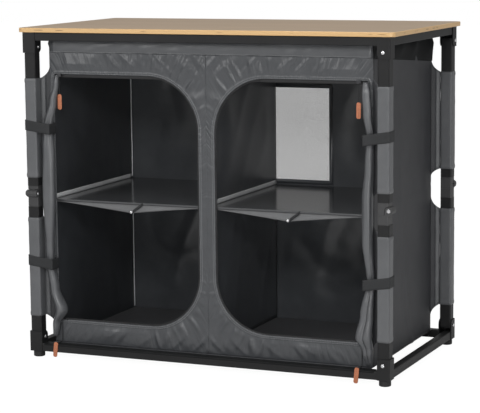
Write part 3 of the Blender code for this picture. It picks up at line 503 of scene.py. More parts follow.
# The cabinet's main sizes: INSET puts a sheet's middle inside its solid's face, and the edges lap their seams.
panel_low, panel_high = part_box("front_panel")
HALF_LENGTH, HALF_DEPTH = 0.412, 0.2175
PANEL_Y = -HALF_DEPTH
SEAM_Z = panel_high.z
FLOOR_Z = 0.0357
SHELF_Z = 0.388
KNEE_Z = 0.40425
WALL = 0.0009
INSET = 0.0006
LOW_EDGE, HIGH_EDGE = FLOOR_Z - 0.0008, SEAM_Z + 0.001
WALL_BOW = 0.006
HAIR = 1e-6


def drawn_in(share_along, z):
    """How far an end wall hangs inwards at a height, straight at the floor, the shelf and the hem."""
    low, high = (FLOOR_Z, SHELF_Z) if z < SHELF_Z else (SHELF_Z, SEAM_Z)
    share_up = min(1.0, max(0.0, (z - low) / (high - low)))
    bow = math.sin(math.pi * share_up) * math.sin(math.pi * share_along)
    return WALL_BOW * bow * (0.75 + 0.25 * math.sin(3 * math.pi * share_up + 2 * share_along))


for name, side in SIDES:
    rows = []
    for z in spread(LOW_EDGE, HIGH_EDGE, 90):
        row = []
        for y in spread(PANEL_Y + 0.0014, HALF_DEPTH - INSET, 56):
            share_along = (y + HALF_DEPTH) / (2 * HALF_DEPTH)
            calm = math.sin(math.pi * share_along) ** 0.6
            soft = 0.0030 * ripple((0, y * 1.4, z * 0.8), 7.0, 1 + side)
            crease = (soft + 0.0022 * ridge(9 * y + 2 * z, 3 * z, 5 + side)) * calm
            seam = 0.0008 * math.exp(-(((z - KNEE_Z) / 0.0022) ** 2))
            row.append((side * (HALF_LENGTH - INSET - drawn_in(share_along, z) + crease - seam), y, z))
        rows.append(row if side > 0 else row[::-1])
    wall = cloth(name + "_end_wall", rows, WALL, shaded_side_cloth, shaded_end_lining)
    hang(wall, "stretched", ["base_frame", "top_frame"])

WINDOW_HALF, WINDOW_LOW, WINDOW_HIGH = 0.1443, 0.4017, 0.6353
BACK_END = HALF_LENGTH - 0.0012
across = sorted({
    *spread(-BACK_END, -WINDOW_HALF, 34), *spread(-WINDOW_HALF, WINDOW_HALF, 30), *spread(WINDOW_HALF, BACK_END, 34),
})
heights = sorted({
    *spread(LOW_EDGE, WINDOW_LOW, 46), *spread(WINDOW_LOW, WINDOW_HIGH, 26), *spread(WINDOW_HIGH, HIGH_EDGE, 14),
})
rows = []
for z in heights:
    row = []
    for x in across:
        bay = min(abs(x), HALF_LENGTH - abs(x)) / (HALF_LENGTH / 2)
        level = min(abs(z - FLOOR_Z), abs(z - SHELF_Z), abs(z - SEAM_Z)) / 0.09
        calm = min(1.0, bay * 2.2) * min(1.0, level)
        window = max(0.0, abs(x) - WINDOW_HALF), max(0.0, max(z - WINDOW_HIGH, WINDOW_LOW - z))
        calm *= min(1.0, math.hypot(*window) / 0.05) * min(1.0, max(0.0, abs(x) - 0.004) / 0.03)
        sag = 0.0075 if z < SHELF_Z else 0.0045
        soft = abs(ripple((x, 0, z * 0.7), 8.0, 5)) ** 0.8 + 0.35 * ripple((x, 0, z), 22.0, 9)
        crease = sag * (soft + 0.8 * ridge(9 * x - 2.5 * z, 3 * z, 8))
        row.append((x, HALF_DEPTH - INSET - max(0.0, crease) * calm, z))
    rows.append(row[::-1])
flipped = across[::-1]


def over_window(r, c):
    """Whether a patch of the back wall lies over the window."""
    x, z = (flipped[c] + flipped[c + 1]) / 2, (heights[r] + heights[r + 1]) / 2
    return abs(x) < WINDOW_HALF + HAIR and WINDOW_LOW - HAIR < z < WINDOW_HIGH + HAIR


back = cloth("back_wall", rows, WALL, shaded_side_cloth, lit_back_lining, hole=over_window)
hang(back, "stretched", ["base_frame", "top_frame"], stands_for=("cabinet_shell",))

# Divider and floor sheet: the divider is one black sheet from front to back, and the floor sheet runs
# under the floor board to the base rails.
DIVIDER_LOW, DIVIDER_FRONT, DIVIDER_BACK = 0.0408, PANEL_Y + 0.0052, HALF_DEPTH - 0.002
rows = []
for z in spread(DIVIDER_LOW, SEAM_Z, 60):
    row = []
    for y in spread(DIVIDER_FRONT, DIVIDER_BACK, 40):
        calm = min(1.0, min(abs(z - SHELF_Z + 0.01), SEAM_Z - z, z - DIVIDER_LOW) / 0.07)
        calm *= min(1.0, (DIVIDER_BACK - y) / 0.06, (y - DIVIDER_FRONT) / 0.03)
        crease = 0.0040 * ripple((0, y, z), 7.0, 21) + 0.0026 * ridge(8 * y - 3 * z, 3 * z, 6)
        row.append((crease * max(0.0, calm), y, z))
    rows.append(row)
hang(cloth("divider", rows, WALL, lining), "stretched", ["base_frame"], slot="lining")

FLOOR_END, FLOOR_REACH = HALF_LENGTH - 0.0008, 0.2315
rows = []
for y in spread(-FLOOR_REACH, FLOOR_REACH, 18):
    rows.append([(x, y, FLOOR_Z - 0.0006) for x in spread(-FLOOR_END, FLOOR_END, 30)])
hang(cloth("floor_cloth", rows, 0.0010, shaded_side_cloth, lining), "stretched", ["base_frame"], slot="lining")

# Front sill: a black strip of cloth that lies over the front base rail and turns down over its face.
SILL_HALF = 0.4250
SILL_PROFILE = (
    (-0.2308, 0.0354), (-0.2360, 0.0354), (-0.2440, 0.0354), (-0.2505, 0.0354),
    (-0.2524, 0.0349), (-0.2530, 0.0338), (-0.2530, 0.0312),
)
sill_cloth = woven("black_sill", (0.012, 0.0125, 0.013), (0.008, 0.0085, 0.009), 0.62, Specular_IOR_Level=0.15)
rows = [[(x, y, z) for x in spread(-SILL_HALF, SILL_HALF, 40)] for y, z in SILL_PROFILE]
hang(cloth("front_sill", rows[::-1], 0.0006, sill_cloth), "laid", ["base_frame"], slot="lining")

# Hem: a grey strip along the front and black along the other sides, folded out over the edge and stuck to
# the top rails. At the sides the black cloth hangs lower towards the rear: the hem's cloth, and below it painted shade
# under the worktop.
HEM_STEP = 0.7766
RAIL_IN_X, RAIL_IN_Y = 0.4419, 0.2322
hem_black = woven("black_hem", (0.010, 0.0105, 0.011), (0.006, 0.0065, 0.007), 0.62, Specular_IOR_Level=0.12)


def hem_side(name, start, end, out, reach, outside, sag, drops=(0, 0)):
    """A strip of hem between two corners: up from the seam, out under the rail and up its inner face. It
    hangs down past the seam by the drops at its two ends."""
    start, end, out = Vector(start), Vector(end), Vector(out)
    fold_rate = 24 if outside is grey_cloth else 7
    rows = []
    profile = [(0, mix(SEAM_Z - 0.0012, HEM_STEP - 0.0012, i / 10)) for i in range(11)]
    profile += [(reach * i / 4, HEM_STEP) for i in range(1, 5)]
    profile += [(reach, HEM_STEP + 0.0055), (reach, HEM_STEP + 0.011)]
    for step, (outwards, z) in enumerate(profile):
        row = []
        for share in spread(0, 1, 64):
            point = start.lerp(end, share) + out * outwards
            free = math.sin(math.pi * min(1.0, step / 10)) if step <= 10 else 0.0
            run = share * (end - start).length
            soft = 0.5 * ripple((run, 0, z), 16.0, 31 + len(name))
            push = sag * free * (soft + ridge(fold_rate * run - 20 * z, 9 * z, 4 + len(name)))
            drop = mix(drops[0], drops[1], share) * max(0.0, 1 - step / 6)
            push += 0.0016 * min(1.0, drop / 0.003) if step < 10 else 0.0
            row.append((point.x + out.x * push, point.y + out.y * push, z - drop))
        rows.append(row)
    return cloth(name, rows, 0.0010, outside, lining)


hem_x, hem_y = HALF_LENGTH - 0.0005, HALF_DEPTH - 0.0005
reach_x, reach_y = RAIL_IN_X - hem_x - 0.0008, RAIL_IN_Y - hem_y - 0.0008
# REAR_SHADE_DROP: how far the black side hems hang lower at the rear, a dark sheet that paints the shade under the
# worktop there.
REAR_SHADE_DROP = 0.034
HEMS = (
    ("front_hem", (-hem_x, -hem_y), (hem_x, -hem_y), (0, -1), reach_y, grey_cloth, 0.0022, (0, 0)),
    ("right_hem", (hem_x, -hem_y), (hem_x, hem_y), (1, 0), reach_x, hem_black, 0.0040, (0, REAR_SHADE_DROP)),
    ("back_hem", (hem_x, hem_y), (-hem_x, hem_y), (0, 1), reach_y, hem_black, 0.0012, (0, 0)),
    ("left_hem", (-hem_x, hem_y), (-hem_x, -hem_y), (-1, 0), reach_x, hem_black, 0.0040, (REAR_SHADE_DROP, 0)),
)
for name, start, end, out, reach, outside, sag, drops in HEMS:
    strip = hem_side(name, (*start, 0), (*end, 0), (*out, 0), reach, outside, sag, drops)
    hang(strip, "hung", ["top_frame"], body="top", slot="lining" if outside is hem_black else "fabric")

# Net window: a fine grey net in the back wall, with a narrow binding sewn round it.
NET_PITCH, NET_YARN, NET_DEPTH = 0.0016, 0.00062, 0.0004
NET_FRONT, NET_BACK = HALF_DEPTH - 0.0006, HALF_DEPTH - 0.0002
net_grey = finish("grey_net", (0.42, 0.42, 0.42), 0.6)
grain(net_grey, 700, 0.2, 0.0003)
bars = []
for x in spread(-WINDOW_HALF, WINDOW_HALF, round(2 * WINDOW_HALF / NET_PITCH)):
    bars.append(((x - NET_YARN / 2, NET_FRONT - NET_DEPTH, WINDOW_LOW), (x + NET_YARN / 2, NET_FRONT, WINDOW_HIGH)))
for z in spread(WINDOW_LOW, WINDOW_HIGH, round((WINDOW_HIGH - WINDOW_LOW) / NET_PITCH)):
    bars.append(((-WINDOW_HALF, NET_FRONT, z - NET_YARN / 2), (WINDOW_HALF, NET_BACK, z + NET_YARN / 2)))
bm = bmesh.new()
for low, high in bars:
    for vert in bmesh.ops.create_cube(bm, size=1)["verts"]:
        vert.co = Vector(low[i] if vert.co[i] < 0 else high[i] for i in range(3))
sewn_on(from_blocks(bm, "window_net", net_grey), "net", ("mesh_window",))

BINDING_WIDTH = 0.011
window_corners = (
    (-WINDOW_HALF, WINDOW_LOW), (WINDOW_HALF, WINDOW_LOW), (WINDOW_HALF, WINDOW_HIGH), (-WINDOW_HALF, WINDOW_HIGH),
)
binding_parts = []
for y in (HALF_DEPTH + 0.0002, HALF_DEPTH - 0.0016):
    ring_in = [(x, y, z) for x, z in window_corners]
    ring_out = []
    for x, z in window_corners:
        ring_out.append((x + math.copysign(BINDING_WIDTH, x), y, z + math.copysign(BINDING_WIDTH, z - 0.5)))
    binding_parts.append(cloth("binding", [ring_in, ring_out], 0.0007, lining, closed=True))
squashed(as_one("window_binding", binding_parts, lining, "base"))

# Front panel: grey cloth with two D-shaped openings. Each edge is turned over and sewn twice, the two
# halves meet in a seam down the middle, and folds run out from the round corners where it is stretched.
OPENING_SIDE, OPENING_LOW, OPENING_HIGH = 0.400, 0.0915, 0.692
STILE_HALF, OPENING_RADIUS, SMALL_RADIUS = 0.021, 0.130, 0.005
EDGE_BAND = 0.0082
EDGE_SHARE = 0.35


def opening_outline(steps=72):
    """The opening of the right bay as x and z, counter-clockwise from its lower outer corner."""
    near, far = STILE_HALF + OPENING_RADIUS, OPENING_SIDE - SMALL_RADIUS
    corners = (
        (far, OPENING_LOW + SMALL_RADIUS, SMALL_RADIUS, 3, 6),
        (far, OPENING_HIGH - SMALL_RADIUS, SMALL_RADIUS, 0, 6),
        (near, OPENING_HIGH - OPENING_RADIUS, OPENING_RADIUS, 1, steps),
        (near, OPENING_LOW + OPENING_RADIUS, OPENING_RADIUS, 2, steps),
    )
    points = []
    for x, z, radius, quarter, count in corners:
        for i in range(count + 1):
            angle = (quarter + i / count) * math.pi / 2
            points.append(Vector((x + radius * math.cos(angle), z + radius * math.sin(angle))))
    dense = []
    for i, point in enumerate(points):
        after = points[(i + 1) % len(points)]
        pitch = 0.0040 if abs(point.y - after.y) < 0.004 else 0.0075
        if min(point.x, after.x) > OPENING_SIDE - 0.001:
            pitch = 0.020
        count = max(1, round((after - point).length / pitch))
        dense += [point.lerp(after, k / count) for k in range(count)]
    return dense


def creased(material, along, outward, seed, strength, distance):
    """Sharp creases that run outward in the cloth's own plane, each fading along its length."""
    warp = node(material, "TexNoise", Scale=9.0, Detail=1.0)
    link(material, place_of(material), warp.inputs["Vector"])
    spread_out = node(material, "VectorMath", operation="MULTIPLY_ADD")
    link(material, warp.outputs["Color"], spread_out.inputs[0])
    spread_out.inputs[1].default_value = (0.9, 0.25, 0)
    link(material, place_of(material, (along, outward, 1), by="UV"), spread_out.inputs[2])
    shifted = node(material, "Mapping", Location=(seed, seed * 0.7, 0))
    link(material, spread_out.outputs["Vector"], shifted.inputs["Vector"])
    folds = node(material, "TexNoise", Scale=1.0, Detail=2.0, Roughness=0.55)
    link(material, shifted.outputs["Vector"], folds.inputs["Vector"])
    from_middle = node(material, "Math", operation="SUBTRACT")
    link(material, folds.outputs["Fac"], from_middle.inputs[0])
    from_middle.inputs[1].default_value = 0.5
    bumped(material, worked(material, "ABSOLUTE", from_middle.outputs[0]), strength, distance)


panel_cloth = woven("grey_panel", (0.058, 0.061, 0.066), (0.046, 0.049, 0.054), 0.37, Specular_IOR_Level=0.65)
creased(panel_cloth, 30, 7, 3.0, 0.7, 0.008)
creased(panel_cloth, 70, 16, 8.0, 0.5, 0.004)

outline = opening_outline()
count = len(outline)
normals = []
for i, point in enumerate(outline):
    way = (outline[(i + 1) % count] - outline[i - 1]).normalized()
    normals.append(Vector((way.y, -way.x)))


def to_border(point, way):
    """Where a line from a point reaches the border of the half panel."""
    reach = 1e9
    for value, low, high, speed in ((point.x, 0.0, HALF_LENGTH, way.x), (point.y, panel_low.z, SEAM_Z, way.y)):
        if speed > 1e-9:
            reach = min(reach, (high - value) / speed)
        elif speed < -1e-9:
            reach = min(reach, (low - value) / speed)
    return point + way * reach


def panel_fold(x, z):
    """Depth of the folds of the stretched panel at a point of its right half."""
    upper = z > 0.39
    centre_z = OPENING_HIGH - OPENING_RADIUS if upper else OPENING_LOW + OPENING_RADIUS
    centre = Vector((STILE_HALF + OPENING_RADIUS, centre_z))
    from_centre = Vector((x, z)) - centre
    reach = from_centre.length - OPENING_RADIUS
    angle = math.atan2(from_centre.y, from_centre.x)
    corner = max(0.0, 1 - abs(reach - 0.020) / 0.060) * min(1.0, 0.3 + x / 0.045)
    corner *= 1 if x < centre.x + 0.02 else max(0.0, 1 - (x - centre.x - 0.02) / 0.05)
    folds = 0.0046 * corner * ridge(6.0 * angle, 8 * reach, 3 if upper else 4, 3.6)
    band = max(0.0, 1 - abs(z - (0.718 if upper else 0.066)) / 0.030) ** 0.6
    lean = 0.9 if upper else -0.9
    to_seam = z - SEAM_Z
    slant = ridge((x - lean * to_seam) * 20, z * 6, 11, 3.8) + 0.4 * ridge((x - 0.5 * lean * to_seam) * 48, z * 12, 15)
    folds += 0.0040 * band * slant * (1 - 0.7 * corner)
    folds *= min(1.0, max(0.0, (HALF_LENGTH - 0.020 - x) / 0.030))
    stile = max(0.0, 1 - abs(x) / 0.030)
    folds += 0.0012 * stile * (1 - corner) * ridge(x * 30 + z * 22, x * 20, 19)
    return folds + 0.0004 * ripple((x, 0, z), 55.0, 17)


bay_middle = Vector((0.2105, 0.392))
borders = [to_border(point, (point - bay_middle).normalized()) for point in outline]
for x in (0, HALF_LENGTH):
    for z in (panel_low.z, SEAM_Z):
        corner = Vector((x, z))
        nearest = min(range(count), key=lambda i: (borders[i] - corner).length)
        borders[nearest] = corner
RINGS = 26
halves = []
for side in (1, -1):
    rings = []
    for distance in (0.0, 0.0012, 0.0035, 0.0058, 0.0075, EDGE_BAND):
        ring = []
        for point, normal in zip(outline, normals):
            spot = point + normal * distance
            raised = 0.0006 if 0.0 < distance < EDGE_BAND else 0.0
            y = PANEL_Y + INSET - raised - EDGE_SHARE * panel_fold(spot.x, spot.y)
            ring.append((side * spot.x, y, spot.y))
        rings.append(ring)
    for k in range(1, RINGS + 2):
        ring = []
        for point, normal, border in zip(outline, normals, borders):
            start = point + normal * EDGE_BAND
            length = (border - start).length
            share = k / (RINGS + 1) if k <= RINGS else 1.0
            if k == RINGS:
                share = max(share, 1 - 0.0016 / max(length, 0.002))
            spot = start.lerp(border, share)
            fade = min(1.0, EDGE_SHARE + (1 - EDGE_SHARE) * min(1.0, (spot - start).length / 0.012))
            y = PANEL_Y + INSET - fade * panel_fold(spot.x, spot.y)
            if k > RINGS and border.x < HAIR:
                y += 0.0012
            ring.append((side * spot.x, y, spot.y))
        rings.append(ring)
    rows = rings if side < 0 else rings[::-1]
    halves.append(cloth("half_panel", rows, 0.0010, panel_cloth, lining, closed=True))
panel_area = sum(half["cut_area"] for half in halves)
panel = joined("front_panel_cloth", halves)
panel["cut_area"] = panel_area
panel["cut_size"] = [2 * HALF_LENGTH, SEAM_Z - panel_low.z]
hang(panel, "stretched", ["base_frame", "front_hem"], stands_for=("front_panel",))

# Stitching: two rows of pale grey thread round each opening, and one row along the hem's seam.
STITCH, STITCH_GAP = 0.0026, 0.0016
thread_grey = finish("grey_thread", (0.21, 0.215, 0.22), 0.6)
grain(thread_grey, 900, 0.2, 0.0002)
bm = bmesh.new()


def blocks_along(path, pitch, size, depth_at):
    """Small blocks at a pitch along a path of x and z, seen from the front."""
    travelled = 0.0
    for start, end in zip(path, path[1:]):
        length = (end - start).length
        way = (end - start).normalized()
        while travelled < length:
            middle = start.lerp(end, travelled / length)
            for vert in bmesh.ops.create_cube(bm, size=1)["verts"]:
                a, b, c = vert.co
                flat = middle + way * a * size[0] + Vector((-way.y, way.x)) * b * size[1]
                vert.co = (flat.x, depth_at(flat.x, flat.y) + c * size[2], flat.y)
            travelled += pitch
        travelled -= length


THREAD = (STITCH, 0.0009, 0.0006)
for side in (1, -1):
    for distance in (0.0025, 0.0066):
        path = [Vector((side * (p + n * distance).x, (p + n * distance).y)) for p, n in zip(outline, normals)]
        blocks_along(
            path + path[:1], STITCH + STITCH_GAP, THREAD,
            lambda x, z: PANEL_Y - 0.0006 - EDGE_SHARE * panel_fold(abs(x), z),
        )
hem_row = [Vector((x, SEAM_Z + 0.0022)) for x in (-HALF_LENGTH + 0.004, HALF_LENGTH - 0.004)]
blocks_along(hem_row, STITCH + STITCH_GAP, THREAD, lambda x, z: -hem_y - 0.0014)
sewn_on(from_blocks(bm, "panel_stitching", thread_grey), "fabric")

# Zip tapes: a black tape with its chain of teeth, sewn behind the edge of each opening.
zip_black = woven("black_zip_tape", (0.014, 0.014, 0.015), (0.010, 0.010, 0.011), 0.6)
teeth_black = finish("black_zip_teeth", (0.02, 0.02, 0.021), 0.35)
grain(teeth_black, 300, 0.3, 0.0004)
TAPE_OUT, TEETH_IN = 0.0085, 0.0022
TOOTH, TOOTH_PITCH = (0.0016, 0.0030, 0.0022), 0.0026
TAPE_Y = PANEL_Y + 0.0022
run = [i for i in range(count) if outline[i].x < OPENING_SIDE - 0.012 and outline[i].y < OPENING_HIGH - 0.001]
for name, side in SIDES:
    rows = []
    for distance in (TAPE_OUT, -TEETH_IN):
        spots = [outline[i] + normals[i] * distance for i in run]
        rows.append([(side * spot.x, TAPE_Y, spot.y) for spot in spots])
    strip = cloth(name + "_zip_tape", rows, 0.0008, zip_black)
    hang(strip, "stretched", ["front_panel_cloth"], slot="webbing")
    bm = bmesh.new()
    chain = [outline[i] - normals[i] * TEETH_IN for i in run]
    blocks_along([Vector((side * spot.x, spot.y)) for spot in chain], TOOTH_PITCH, TOOTH, lambda x, z: TAPE_Y)
    bmesh.ops.recalc_face_normals(bm, faces=bm.faces)
    sewn_on(from_blocks(bm, name + "_zip_teeth", teeth_black), "webbing")

tape_low, tape_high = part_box("upper_zip_tape")
tape_y = (tape_low.y + tape_high.y) / 2
rows = [[(x, tape_y, z) for x in spread(tape_low.x, tape_high.x, 60)] for z in spread(tape_low.z, tape_high.z, 3)]
upper_tape = cloth("upper_zip_strip", rows, 0.0007, zip_black)
hang(
    upper_tape, "stretched", ["front_panel_cloth"],
    body="zip_tape", stands_for=("upper_zip_tape",), slot="webbing",
)

# Leg sleeves: grey cloth sewn into a close tube round each half leg, with a hem at both ends.
SLEEVE_HALF = 0.0145
sleeve_cloth = woven("grey_sleeve", (0.100, 0.103, 0.108), (0.083, 0.086, 0.091), 0.42, Specular_IOR_Level=0.6)


def square_ring(half, corner, per_corner=5, per_side=5):
    """Points round a square with rounded corners, with extra points along its sides."""
    ring = []
    signs = ((1, 1), (-1, 1), (-1, -1), (1, -1))

    def on_corner(quarter, share):
        angle = (quarter + share) * math.pi / 2
        sx, sy = signs[quarter % 4]
        return Vector((sx, sy)) * (half - corner) + Vector((math.cos(angle), math.sin(angle))) * corner

    for quarter in range(4):
        ring += [on_corner(quarter, i / per_corner) for i in range(per_corner + 1)]
        last, first = ring[-1], on_corner(quarter + 1, 0)
        ring += [last.lerp(first, k / per_side) for k in range(1, per_side)]
    return ring


for number, leg in enumerate(LEGS):
    for half in ("lower", "upper"):
        low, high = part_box(f"{leg}_{half}_sleeve")
        middle = (low + high) / 2
        rows = []
        for z in spread(low.z, high.z, 60):
            end = min(z - low.z, high.z - z)
            hem = 0.0007 if 0.001 < end < 0.010 else 0.0
            row = []
            for point in square_ring(SLEEVE_HALF, 0.0042):
                seed = number * 2.1 + (half == "upper")
                swell = 0.0005 * (0.5 + 0.5 * ripple((point.x * 22, point.y * 22, z * 9), 1.0, seed))
                swell += 0.0003 * ripple((point.x * 60, point.y * 60, z * 60), 1.0, 40 + number)
                grown = point * (1 + (hem + max(0.0, swell)) / SLEEVE_HALF)
                row.append((middle.x + grown.x, middle.y + grown.y, z))
            rows.append(row)
        sleeve = cloth(f"{leg}_{half}_sleeve_cloth", rows, 0.0007, sleeve_cloth, closed=True)
        hang(
            sleeve, "stretched", [f"{leg}_{half}_tube"],
            body=f"{leg}_{half}_leg", stands_for=(f"{leg}_{half}_sleeve",),
        )

# Corner flaps: the end walls run on past the cabinet's corners to the leg sleeves, above and below the
# knee, where a strip of the sleeve's own cloth meets them. At both ends the cloth is cut away in curves.
FLAP_X, FLAP_Y = HALF_LENGTH - 0.0012, HALF_DEPTH - 0.0008
FLAP_CLOTHS = (
    ("flap", (0, 0.01, 0.04, 0.1, 0.2, 0.35, 0.5), shaded_side_cloth),
    ("sleeve_seam", (0.5, 0.65, 0.8, 1), sleeve_cloth),
)
for leg in LEGS:
    sx = 1 if "right" in leg else -1
    sy = 1 if "rear" in leg else -1
    for half in ("lower", "upper"):
        low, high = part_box(f"{leg}_{half}_sleeve")
        inner_x = (low.x if sx > 0 else high.x) - sx * 0.0003
        inner_y = (low.y if sy > 0 else high.y) + sy * 0.0040
        if half == "upper":
            at_wall, at_leg = (KNEE_Z + 0.008, SEAM_Z - 0.012), (low.z + 0.001, high.z - 0.001)
        else:
            at_wall, at_leg = (KNEE_Z - 0.008, panel_low.z + 0.020), (high.z - 0.001, low.z + 0.001)
        for piece, cut, covering in FLAP_CLOTHS:
            rows = []
            for share in spread(0, 1, 30):
                row = []
                for across_share in cut:
                    curve = across_share ** 0.25
                    z = mix(*at_wall, share) * (1 - curve) + mix(*at_leg, share) * curve
                    x, y = mix(sx * FLAP_X, inner_x, across_share), mix(sy * FLAP_Y, inner_y, across_share)
                    y += sy * 0.0012 * math.sin(math.pi * across_share) * ripple((0, 0, z), 20.0, 7)
                    row.append((x, y, z))
                rows.append(row)
            flap = cloth(f"{leg}_{half}_{piece}", rows, 0.0009, covering)
            hang(flap, "stretched", [f"{leg}_{half}_sleeve_cloth"])

# Rolled doors: each door is a zipped-out half of the front, rolled up on itself from its free edge and
# tied to the front leg, fullest between the two straps and narrow where they draw it in.
roll_cloth = woven("grey_door", (0.092, 0.095, 0.101), (0.074, 0.077, 0.082), 0.34, Specular_IOR_Level=0.8)
ROLL_LEVELS = {
    "left": (
        (0.050, 0.4090, 0.0080), (0.080, 0.4060, 0.0110), (0.117, 0.3885, 0.0185), (0.170, 0.4060, 0.0150),
        (0.236, 0.4165, 0.0120), (0.387, 0.4130, 0.0185), (0.500, 0.4120, 0.0160), (0.566, 0.4130, 0.0125),
        (0.625, 0.4010, 0.0100), (0.667, 0.3925, 0.0072), (0.690, 0.3910, 0.0050),
    ),
    "right": (
        (0.044, 0.4060, 0.0085), (0.075, 0.4040, 0.0150), (0.109, 0.3970, 0.0225), (0.160, 0.4030, 0.0180),
        (0.236, 0.4110, 0.0105), (0.330, 0.4040, 0.0150), (0.425, 0.4030, 0.0155), (0.500, 0.4060, 0.0125),
        (0.566, 0.4080, 0.0095), (0.620, 0.4020, 0.0120), (0.667, 0.3985, 0.0110), (0.690, 0.3960, 0.0070),
    ),
}
ROLL_TURNS, ROLL_POINTS, ROLL_FLATNESS = 2.6, 96, 0.92
STRAP_LEVELS, STRAP_GRIP = (0.566, 0.236), 0.05


def roll_level(levels, z):
    """Middle and half width of a rolled door at a height."""
    for (z0, x0, half0), (z1, x1, half1) in zip(levels, levels[1:]):
        if z <= z1:
            break
    share = min(1.0, max(0.0, (z - z0) / (z1 - z0)))
    share = share * share * (3 - 2 * share)
    return mix(x0, x1, share), mix(half0, half1, share)


for name, side in SIDES:
    rows = []
    levels = ROLL_LEVELS[name]
    for z in spread(levels[0][0], levels[-1][0], 130):
        middle_x, half = roll_level(levels, z)
        to_strap = min(abs(z - level) for level in STRAP_LEVELS)
        back_y = PANEL_Y - 0.0006 - (0.0011 if to_strap < STRAP_GRIP else 0)
        ring = []
        for i in range(ROLL_POINTS + 1):
            angle = 2 * math.pi * ROLL_TURNS * i / ROLL_POINTS + 0.8 + 2.0 * z
            size = half * (0.30 + 0.70 * i / ROLL_POINTS)
            lobe = 0.94 + 0.06 * math.sin(3 * angle + 11 * z + side)
            lobe += 0.05 * ripple((math.cos(angle), math.sin(angle), z * 16), 1.0, 50 + side)
            lobe += 0.05 * math.sin(9 * angle) * max(0.0, 1 - to_strap / STRAP_GRIP)
            x = side * (middle_x + size * lobe * math.cos(angle))
            ring.append((x, ROLL_FLATNESS * size * lobe * math.sin(angle)))
        shift = back_y - max(y for _, y in ring)
        row = [(x, y + shift, z) for x, y in ring]
        rows.append(row[::-1] if side < 0 else row)
    door = cloth(name + "_rolled_door", rows, 0.0008, roll_cloth, lining)
    hang(
        door, "folded", [f"{name}_upper_webbing", f"{name}_lower_webbing"],
        stands_for=(name + "_door_roll",), keep=0.003, anchor=(0, 0, 0.0352),
    )

# Door straps: black webbing round the rolled door and the front leg, closed on itself behind the leg.
webbing = woven("black_webbing", (0.020, 0.021, 0.023), (0.014, 0.015, 0.016), 0.75, yarn=0.0009)
for level in ("upper", "lower"):
    for name, side in SIDES:
        low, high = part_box(f"{name}_{level}_strap")
        middle = (low + high) / 2
        half_x, half_y = (high.x - low.x) / 2 - 0.0004, (high.y - low.y) / 2 - 0.0004
        rows = []
        for share in spread(-0.5, 0.5, 6):
            row = []
            for point in square_ring(1.0, 0.12, 6, 8):
                a, b = point.x * half_x, point.y * half_y
                bow = 0.0014 * max(0.0, 1 - abs(point.x + side * 0.2)) if point.y < -0.9 else 0.0
                z = middle.z + 0.025 * share + 0.15 * side * a
                row.append((middle.x + a, middle.y + b + bow, z))
            rows.append(row)
        strap = cloth(f"{name}_{level}_webbing", rows, 0.0012, webbing, closed=True)
        hang(
            strap, "stretched", [f"front_{name}_{level}_sleeve_cloth"],
            stands_for=(f"{name}_{level}_strap",), slot="webbing", keep=0.02,
        )

# Slings: grey cloth that hangs from the walls under each middle shelf, drawn down to a stud at the
# middle of its front edge, with a dark strap that runs from the stud to the shelf.
sling_cloth = woven("grey_sling", (0.125, 0.127, 0.130), (0.100, 0.102, 0.105), 0.5)
SHELF_LOW = SHELF_Z - 0.0043
SLING_FRONT, SLING_BACK = PANEL_Y + 0.0056, HALF_DEPTH - 0.0030
SLING_SAG, SLING_LOWEST = 0.0205, 0.49
SHELF_FOLD = {"keep": 0.2026, "anchor": (0, 0, -0.0402)}


def sling_sag(share):
    """How far a sling's front edge hangs down at a share of its width."""
    taut = share / SLING_LOWEST if share < SLING_LOWEST else (1 - share) / (1 - SLING_LOWEST)
    return SLING_SAG * taut ** 1.15


for name, side in SIDES:
    ends = side * 0.0016, side * (HALF_LENGTH - 0.0020)
    rows = []
    for depth in spread(0, 1, 14):
        y = mix(SLING_FRONT, SLING_BACK, depth)
        row = []
        for share in spread(0, 1, 44):
            row.append((mix(*ends, share), y, SHELF_LOW - 0.0008 - sling_sag(share) * (1 - 0.8 * depth)))
        rows.append(row if side < 0 else row[::-1])
    front_flap = []
    for drop in spread(0, 1, 5):
        y = SLING_FRONT - 0.0004 + 0.003 * (1 - drop)
        row = [(mix(*ends, share), y, SHELF_LOW - 0.0006 - sling_sag(share) * drop) for share in spread(0, 1, 44)]
        front_flap.append(row if side > 0 else row[::-1])
    sling = cloth(name + "_sling", rows, 0.0008, lining)
    hang(sling, "hung", [name + "_end_wall", "divider"], slot="lining", **SHELF_FOLD)
    flap = cloth(name + "_sling_front", front_flap, 0.0008, sling_cloth)
    hang(flap, "hung", [name + "_sling"], **SHELF_FOLD)
    stud_x = mix(*ends, SLING_LOWEST)
    stud_place = (stud_x, SLING_FRONT - 0.0006, SHELF_LOW - SLING_SAG + 0.0015)
    stud = domed_head("stud", stud_place, (0, -1, 0), 0.0038, 0.0018)
    squashed(as_one(name + "_sling_stud", [stud], steel, "base"), **SHELF_FOLD)
    tab_low = Vector((stud_x + 0.004, SLING_FRONT - 0.0014, SHELF_LOW - SLING_SAG + 0.002))
    tab_high = Vector((stud_x + 0.030, SLING_FRONT - 0.0012, SHELF_LOW + 0.001))
    half_tab = Vector((0.3, 0, 1)).normalized() * 0.0052
    rows = [[spot + half_tab * s for spot in (tab_low, tab_low.lerp(tab_high, 0.5), tab_high)] for s in (-1, 1)]
    tab = cloth(name + "_sling_tab", rows, 0.0012, webbing)
    hang(tab, "hung", [name + "_sling"], slot="webbing", **SHELF_FOLD)

